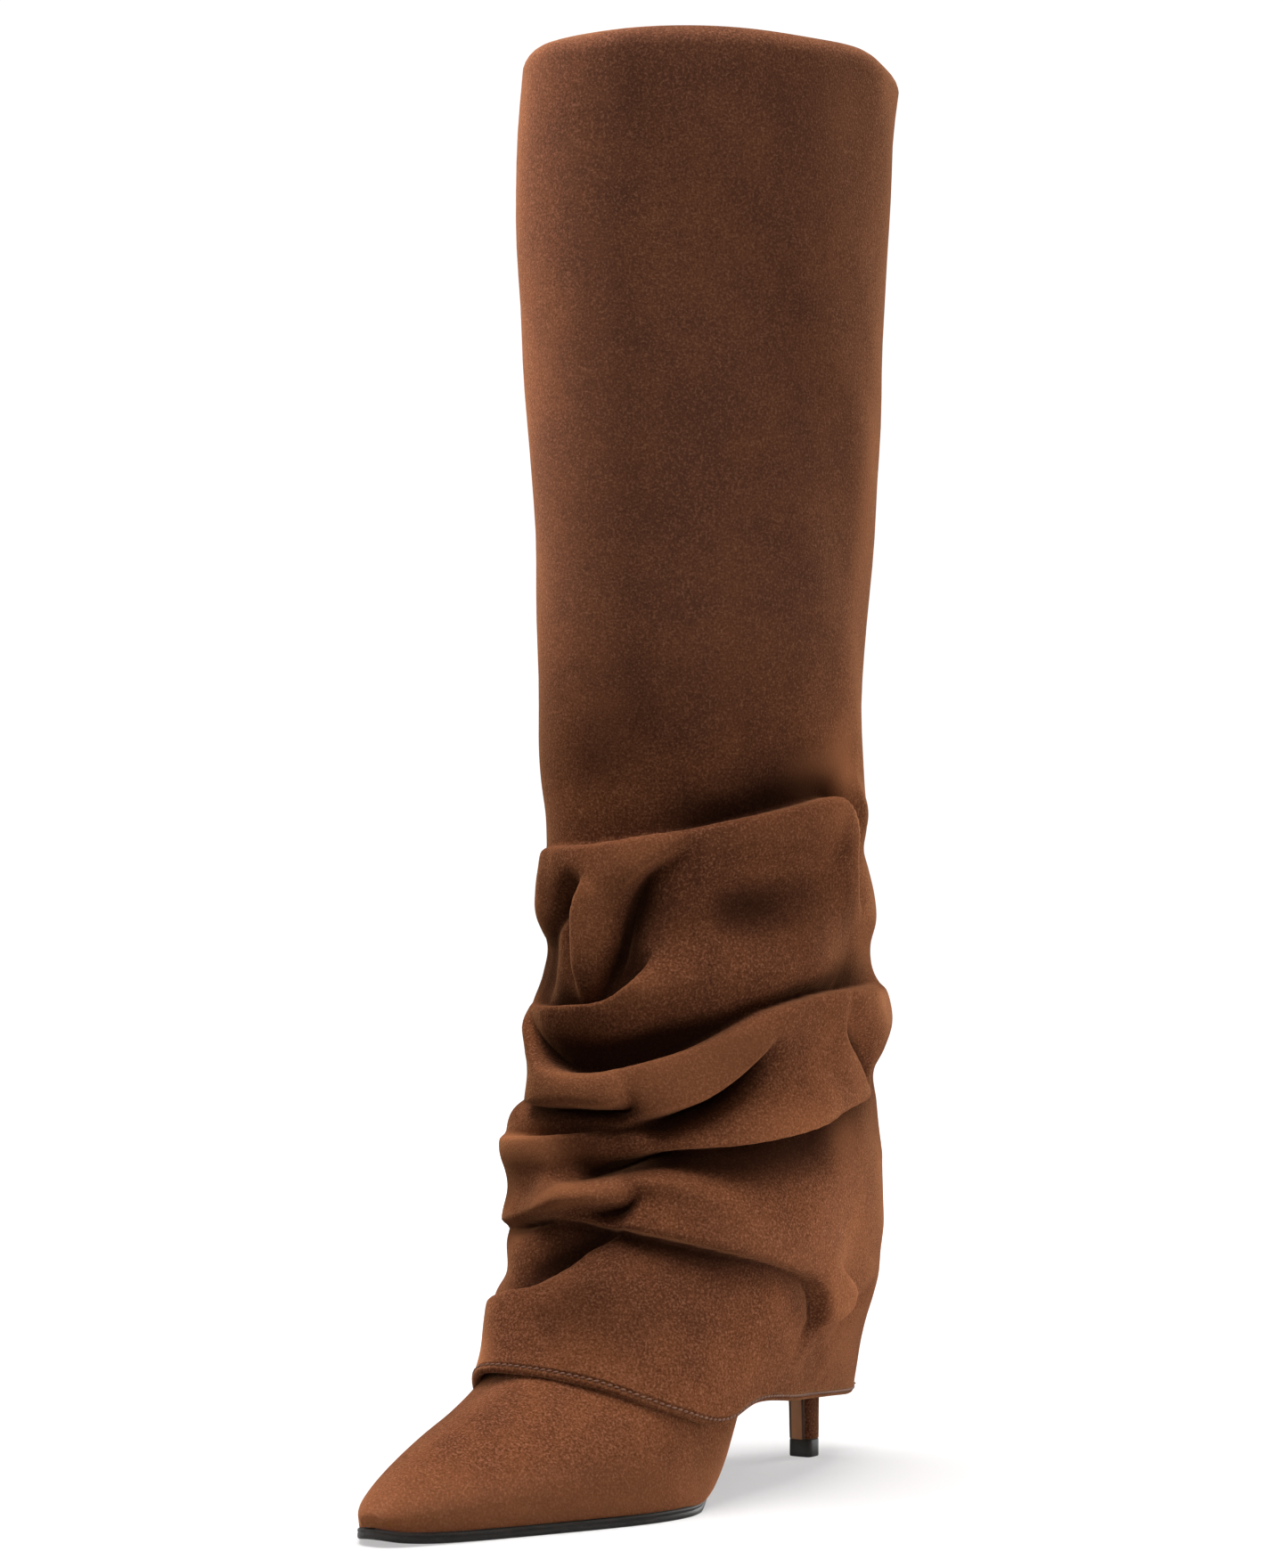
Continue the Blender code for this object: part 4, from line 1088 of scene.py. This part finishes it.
class BootSizes(bpy.types.PropertyGroup):
    """Sizes of the boot's finish."""
    sleeve_wall: bpy.props.FloatProperty(
        name="Sleeve wall", description="Thickness of the sleeve's leather", default=0.0018,
        unit="LENGTH")
    hem_wall: bpy.props.FloatProperty(
        name="Hem wall", description="Thickness of the turned hem", default=0.0022, unit="LENGTH")
    upper_wall: bpy.props.FloatProperty(
        name="Upper wall", description="Thickness of the vamp and quarters", default=0.0016,
        unit="LENGTH")
    shaft_wall: bpy.props.FloatProperty(
        name="Lining wall", description="Thickness of the inner leg tube", default=0.0016, unit="LENGTH")
    stitch_pitch: bpy.props.FloatProperty(
        name="Stitch pitch", description="Distance from one hem stitch to the next", default=0.0021,
        unit="LENGTH")
    stitch_length: bpy.props.FloatProperty(
        name="Stitch length", description="Length of one hem stitch", default=0.0017, unit="LENGTH")
    stitch_width: bpy.props.FloatProperty(
        name="Stitch width", description="Thickness of the sewing thread", default=0.0008, unit="LENGTH")
    stitch_height: bpy.props.FloatProperty(
        name="Stitch height", description="Distance of the stitches from the hem's edge", default=0.0022,
        unit="LENGTH")
    nap_size: bpy.props.FloatProperty(
        name="Nap size", description="Size of the suede's flecks", default=0.0007, unit="LENGTH",
        precision=5)


class BootColours(bpy.types.PropertyGroup):
    """Colours of the boot's finish."""
    suede_dark: bpy.props.FloatVectorProperty(
        name="Dark nap", description="Suede where the nap lies away from the light", subtype="COLOR",
        default=(0.070, 0.0240, 0.0112))
    suede_mid: bpy.props.FloatVectorProperty(
        name="Nap", description="Suede where the nap stands", subtype="COLOR",
        default=(0.113, 0.0386, 0.0156))
    suede_light: bpy.props.FloatVectorProperty(
        name="Fibres", description="Lightest fibres of the nap", subtype="COLOR",
        default=(0.250, 0.1060, 0.0570))
    # Worn nap, which is also the painted light of the lighter patches, of the ridges and along the sole.
    suede_worn_and_lit: bpy.props.FloatVectorProperty(
        name="Worn nap", description="Suede where the nap is rubbed up or faces the light",
        subtype="COLOR", default=(0.262, 0.0985, 0.0420))
    # Dark between the fibres, which is also the painted shade of the folds and of the darker patches.
    suede_pit_and_shade: bpy.props.FloatVectorProperty(
        name="Pits", description="Suede between its fibres and down in its folds", subtype="COLOR",
        default=(0.018, 0.0070, 0.0040))
    # The painted grey haze of light on the straight leg.
    suede_haze_grey: bpy.props.FloatVectorProperty(
        name="Grey nap", description="Duller nap of the straight leg", subtype="COLOR",
        default=(0.115, 0.060, 0.046))
    sheen: bpy.props.FloatVectorProperty(
        name="Sheen", description="Light that the nap catches at its edges", subtype="COLOR",
        default=(1.0, 0.46, 0.22))
    lining: bpy.props.FloatVectorProperty(
        name="Lining", description="Inside of the leg", subtype="COLOR", default=(0.11, 0.055, 0.030))
    tan: bpy.props.FloatVectorProperty(
        name="Tan", description="Smooth leather of the insole and the heel's front", subtype="COLOR",
        default=(0.38, 0.165, 0.078))
    black: bpy.props.FloatVectorProperty(
        name="Black", description="Sole edge and heel tip", subtype="COLOR",
        default=(0.012, 0.011, 0.010))
    thread: bpy.props.FloatVectorProperty(
        name="Thread", description="Stitches of the hem", subtype="COLOR", default=(0.135, 0.054, 0.026))
    floor: bpy.props.FloatVectorProperty(
        name="Floor", description="Studio floor", subtype="COLOR", default=(0.31, 0.305, 0.304))


class BOOT_OT_sleeve(bpy.types.Operator):
    """Make the suede sleeve that rolls over the rim, slouches in folds and ends in a thick hem"""
    bl_idname = "boot.sleeve"
    bl_label = "Fold-over sleeve"

    def execute(self, context):
        sizes, colours = context.scene.boot_sizes, context.scene.boot_colours
        rows, marks = sleeve_rows(sizes)
        finish = suede("sleeve_suede", colours, sizes, folded=True)
        made = skin("fold_over_sleeve", rows, finish, around=True, ring=True, marks=marks)
        settle(made, "fold_over")
        return {"FINISHED"}


class BOOT_OT_stitches(bpy.types.Operator):
    """Sew the row of stitches along the hem"""
    bl_idname = "boot.stitches"
    bl_label = "Hem stitches"

    def execute(self, context):
        sizes = context.scene.boot_sizes
        line, lay = stitch_line(sizes.stitch_height / MM)
        count = len(line)
        mesh = bpy.data.meshes.new("stitch_line")
        mesh.from_pydata(place(line).tolist(), [(n, (n + 1) % count) for n in range(count)], [])
        ways = mesh.attributes.new("lay", "FLOAT_VECTOR", "POINT")
        ways.data.foreach_set("vector", lay.ravel().astype("f"))
        path = bpy.data.objects.new("stitch_line", mesh)
        context.scene.collection.objects.link(path)
        sewing = path.modifiers.new("Sewing", "NODES")
        sewing.node_group = stitch_tree()
        wanted = {"Pitch": sizes.stitch_pitch, "Length": sizes.stitch_length, "Width": sizes.stitch_width,
                  "Thread": waxed_thread("hem_thread", context.scene.boot_colours.thread)}
        for socket in sewing.node_group.interface.items_tree:
            if socket.name in wanted:
                sewing[socket.identifier] = wanted[socket.name]
        sewn = path.evaluated_get(context.evaluated_depsgraph_get())
        made = bpy.data.objects.new("hem_stitches", bpy.data.meshes.new_from_object(sewn))
        bpy.data.objects.remove(path, do_unlink=True)
        if not made.data.polygons:
            raise RuntimeError("the hem has no stitches")
        context.scene.collection.objects.link(made)
        settle(made, None)
        return {"FINISHED"}


class BOOT_OT_upper(bpy.types.Operator):
    """Make the vamp, quarters and counter as one suede wall over the last"""
    bl_idname = "boot.upper"
    bl_label = "Upper"

    def execute(self, context):
        sizes, colours = context.scene.boot_sizes, context.scene.boot_colours
        sections = [arch(row) for row in np.arange(0.0, len(LAST) - 1 + LAST_STEP / 2, LAST_STEP)]
        toe = LAST[0]
        tip = np.array(((toe.lateral_edge - toe.medial_edge) / 2, toe.bottom_y - TOE_TIP_REACH,
                        toe.bottom_z + FIT_GAP))
        sections.insert(0, np.tile(tip, (len(sections[0]), 1)))
        grid = np.array(sections)
        # rise, the height above the sole, sets the vamp suede's painted light along the sole.
        marks = {"rise": grid[:, :, 2] - grid[:, :, 2].min(axis=1, keepdims=True)}
        made = skin("upper_suede", grid, suede("vamp_suede", colours, sizes, soled=True), marks=marks)
        wall(made, sizes.upper_wall / MM)
        settle(made, "upper")
        return {"FINISHED"}


class BOOT_OT_lining(bpy.types.Operator):
    """Make the inner leg tube"""
    bl_idname = "boot.lining"
    bl_label = "Leg lining"

    def execute(self, context):
        sizes, colours = context.scene.boot_sizes, context.scene.boot_colours
        rings = along(SHAFT, np.linspace(0, len(SHAFT) - 1, SHAFT_ROWS))
        made = skin("leg_lining", np.array([leg_ring(row) for row in rings]),
                    rough_lining("leg_lining", colours.lining), around=True)
        wall(made, sizes.shaft_wall / MM)
        settle(made, "shaft")
        return {"FINISHED"}


class BOOT_OT_sole(bpy.types.Operator):
    """Make the thin sole with its rounded edge, and the insole"""
    bl_idname = "boot.sole"
    bl_label = "Sole and insole"

    def execute(self, context):
        colours = context.scene.boot_colours
        rows = np.concatenate((np.linspace(0.0, TOE_FINE_ROW, TOE_FINE_STEPS, endpoint=False),
                               np.arange(TOE_FINE_ROW, HEEL_BREAST_ROW + LAST_STEP / 2, LAST_STEP)))
        finish = black_edge("sole_black", colours.black, gloss=0.42)
        made = sole_slab("outsole_leather", rows, 0.0, SOLE_EDGE, finish)
        settle(made, "outsole")
        rows = np.arange(INSOLE_FIRST_ROW, INSOLE_LAST_ROW + LAST_STEP / 2, LAST_STEP)
        inset = SOLE_LEDGE + context.scene.boot_sizes.upper_wall / MM + INSOLE_EASE
        finish = smooth_leather("sock_leather", colours.tan)
        made = sole_slab("insole_sock", rows, inset, INSOLE_EDGE, finish)
        settle(made, "insole")
        return {"FINISHED"}


class BOOT_OT_heel(bpy.types.Operator):
    """Make the covered stiletto heel, the smooth strip down its front and its tip"""
    bl_idname = "boot.heel"
    bl_label = "Heel"

    def execute(self, context):
        sizes, colours = context.scene.boot_sizes, context.scene.boot_colours
        levels = along(HEEL, np.linspace(len(HEEL) - 1, 0, HEEL_ROWS))
        rings = np.array([d_ring(*row) for row in levels])
        made = skin("heel_suede", rings, suede("heel_suede", colours, sizes), around=True, ends=True)
        settle(made, "heel")
        self.strip(colours)
        tip = HEEL[-1]
        rings = np.array([d_ring(tip.breast_y, level, tip.back_y, level, tip.half_width, inset)
                          for inset, level in LIFT_EDGE])
        finish = black_edge("tip_rubber", colours.black, gloss=0.45)
        made = skin("heel_tip", rings, finish, around=True, ends=True)
        settle(made, "top_lift")
        return {"FINISHED"}

    def strip(self, colours):
        """The smooth strip, with a dark line along both edges."""
        rows = along(HEEL, np.linspace(len(HEEL) - 1, BREAST_STRIP_TOP_ROW, HEEL_ROWS))
        breast = rows[:, :2]
        run = np.gradient(breast, axis=0)
        out = np.column_stack((-run[:, 1], run[:, 0])) / np.linalg.norm(run, axis=1)[:, None]
        face = breast + out * (FIT_GAP + BREAST_STRIP_THICKNESS)
        across = np.linspace(-1.0, 1.0, BREAST_STRIP_POINTS)
        grid = np.array([np.column_stack((across * Heel(*row).half_width * BREAST_STRIP_WIDTH,
                                          np.tile(point, (len(across), 1))))
                         for row, point in zip(rows, face)])
        marks = {"edge": np.tile(np.abs(across), (len(rows), 1))}
        made = skin("heel_breast_strip", grid, smooth_leather("breast_leather", colours.tan, "edge"),
                    marks=marks)
        wall(made, BREAST_STRIP_THICKNESS)
        settle(made, "heel_breast")


class BOOT_OT_stage(bpy.types.Operator):
    """Set up the pale floor, the soft studio light and the camera"""
    bl_idname = "boot.stage"
    bl_label = "Studio"

    def execute(self, context):
        scene = context.scene
        mesh = bpy.data.meshes.new("floor")
        corners = [(x * FLOOR_REACH, y * FLOOR_REACH, 0) for x, y in ((-1, -1), (1, -1), (1, 1), (-1, 1))]
        mesh.from_pydata(corners, [], [(0, 1, 2, 3)])
        mesh.materials.append(pale_floor("studio_floor", scene.boot_colours.floor))
        floor = bpy.data.objects.new("floor", mesh)
        scene.collection.objects.link(floor)
        floor.visible_diffuse = False
        self.sky(scene)
        for lamp in LAMPS:
            self.lamp(lamp)
        self.camera(scene)
        scene.view_settings.view_transform = "Standard"
        return {"FINISHED"}

    def sky(self, scene):
        """A white ground behind the boot that lights it only softly."""
        recipe = Recipe(bpy.data.worlds.new("studio"))
        way = recipe.node("ShaderNodeTexCoord", output="Generated")
        height = recipe.node("ShaderNodeSeparateXYZ", sockets={"Vector": way}, output="Z")
        level = recipe.node("ShaderNodeMapRange", sockets={
            "Value": height, "From Min": SKY_LOW, "From Max": SKY_HIGH,
            "To Min": SKY_LOW_LIGHT, "To Max": SKY_HIGH_LIGHT})
        soft = recipe.node("ShaderNodeBackground", sockets={"Color": level, "Strength": 1.0})
        seen = recipe.node("ShaderNodeBackground", sockets={"Color": rgba(WHITE), "Strength": SKY_SEEN})
        ray = recipe.node("ShaderNodeLightPath", output="Is Camera Ray")
        mix = recipe.node("ShaderNodeMixShader", sockets={"Fac": ray, "Shader": soft, "Shader_001": seen})
        recipe.node("ShaderNodeOutputWorld", sockets={"Surface": mix})
        scene.world = recipe.owner

    def lamp(self, lamp):
        """A soft box of light, turned to its target."""
        light = bpy.data.lights.new(lamp.name, "AREA")
        light.shape = "RECTANGLE"
        light.size = lamp.width
        light.size_y = lamp.height
        light.spread = np.radians(lamp.spread)
        light.energy = lamp.power
        made = bpy.data.objects.new(lamp.name, light)
        made.location = lamp.where
        made.rotation_euler = Matrix(look(np.subtract(lamp.target, lamp.where))).to_euler()
        made.visible_camera = False
        bpy.context.scene.collection.objects.link(made)

    def camera(self, scene):
        """The camera at the photograph's angle to the boot."""
        turn = np.radians(CAMERA_TURN)
        sideways = np.array((np.cos(turn), np.sin(turn), 0.0))
        eye = np.array((CAMERA_DISTANCE * np.sin(turn), CAMERA_AIM[1] - CAMERA_DISTANCE * np.cos(turn),
                        CAMERA_HEIGHT))
        target = np.array(CAMERA_AIM) - CAMERA_ASIDE * sideways
        data = bpy.data.cameras.new("camera")
        data.sensor_fit = "VERTICAL"
        data.sensor_height = SENSOR_HEIGHT
        data.lens = SENSOR_HEIGHT * FOCAL_PIXELS / IMAGE_PIXELS
        camera = bpy.data.objects.new("camera", data)
        camera.matrix_world = Matrix.Translation(place(eye)) @ Matrix(look(target - eye)).to_4x4()
        scene.collection.objects.link(camera)
        scene.camera = camera


def look(way):
    """A turn that faces -Z along a direction, with Y kept upwards."""
    ahead = unit(np.asarray(way, dtype=float))
    side = np.cross(ahead, (0.0, 0.0, 1.0))
    if np.linalg.norm(side) < UPRIGHT:
        side = np.array((1.0, 0.0, 0.0))
    side = unit(side)
    return np.column_stack((side, np.cross(side, ahead), -ahead)).tolist()


class BOOT_PT_panel(bpy.types.Panel):
    """The boot's pieces, sizes and colours"""
    bl_label = "Dress boot"
    bl_idname = "BOOT_PT_panel"
    bl_space_type = "VIEW_3D"
    bl_region_type = "UI"
    bl_category = "Boot"

    def draw(self, context):
        for operator in OPERATORS:
            self.layout.operator(operator.bl_idname)
        for group in (context.scene.boot_sizes, context.scene.boot_colours):
            for name in group.__annotations__:
                self.layout.prop(group, name)


OPERATORS = (BOOT_OT_upper, BOOT_OT_lining, BOOT_OT_sole, BOOT_OT_heel, BOOT_OT_sleeve, BOOT_OT_stitches,
             BOOT_OT_stage)
CLASSES = (BootSizes, BootColours) + OPERATORS + (BOOT_PT_panel,)


def register():
    for each in CLASSES:
        bpy.utils.register_class(each)
    bpy.types.Scene.boot_sizes = bpy.props.PointerProperty(type=BootSizes)
    bpy.types.Scene.boot_colours = bpy.props.PointerProperty(type=BootColours)


def unregister():
    del bpy.types.Scene.boot_colours
    del bpy.types.Scene.boot_sizes
    for each in reversed(CLASSES):
        bpy.utils.unregister_class(each)


def main():
    register()
    bpy.ops.boot.upper()
    bpy.ops.boot.lining()
    bpy.ops.boot.sole()
    bpy.ops.boot.heel()
    bpy.ops.boot.sleeve()
    bpy.ops.boot.stitches()
    bpy.ops.boot.stage()


if __name__ == "__main__":
    main()
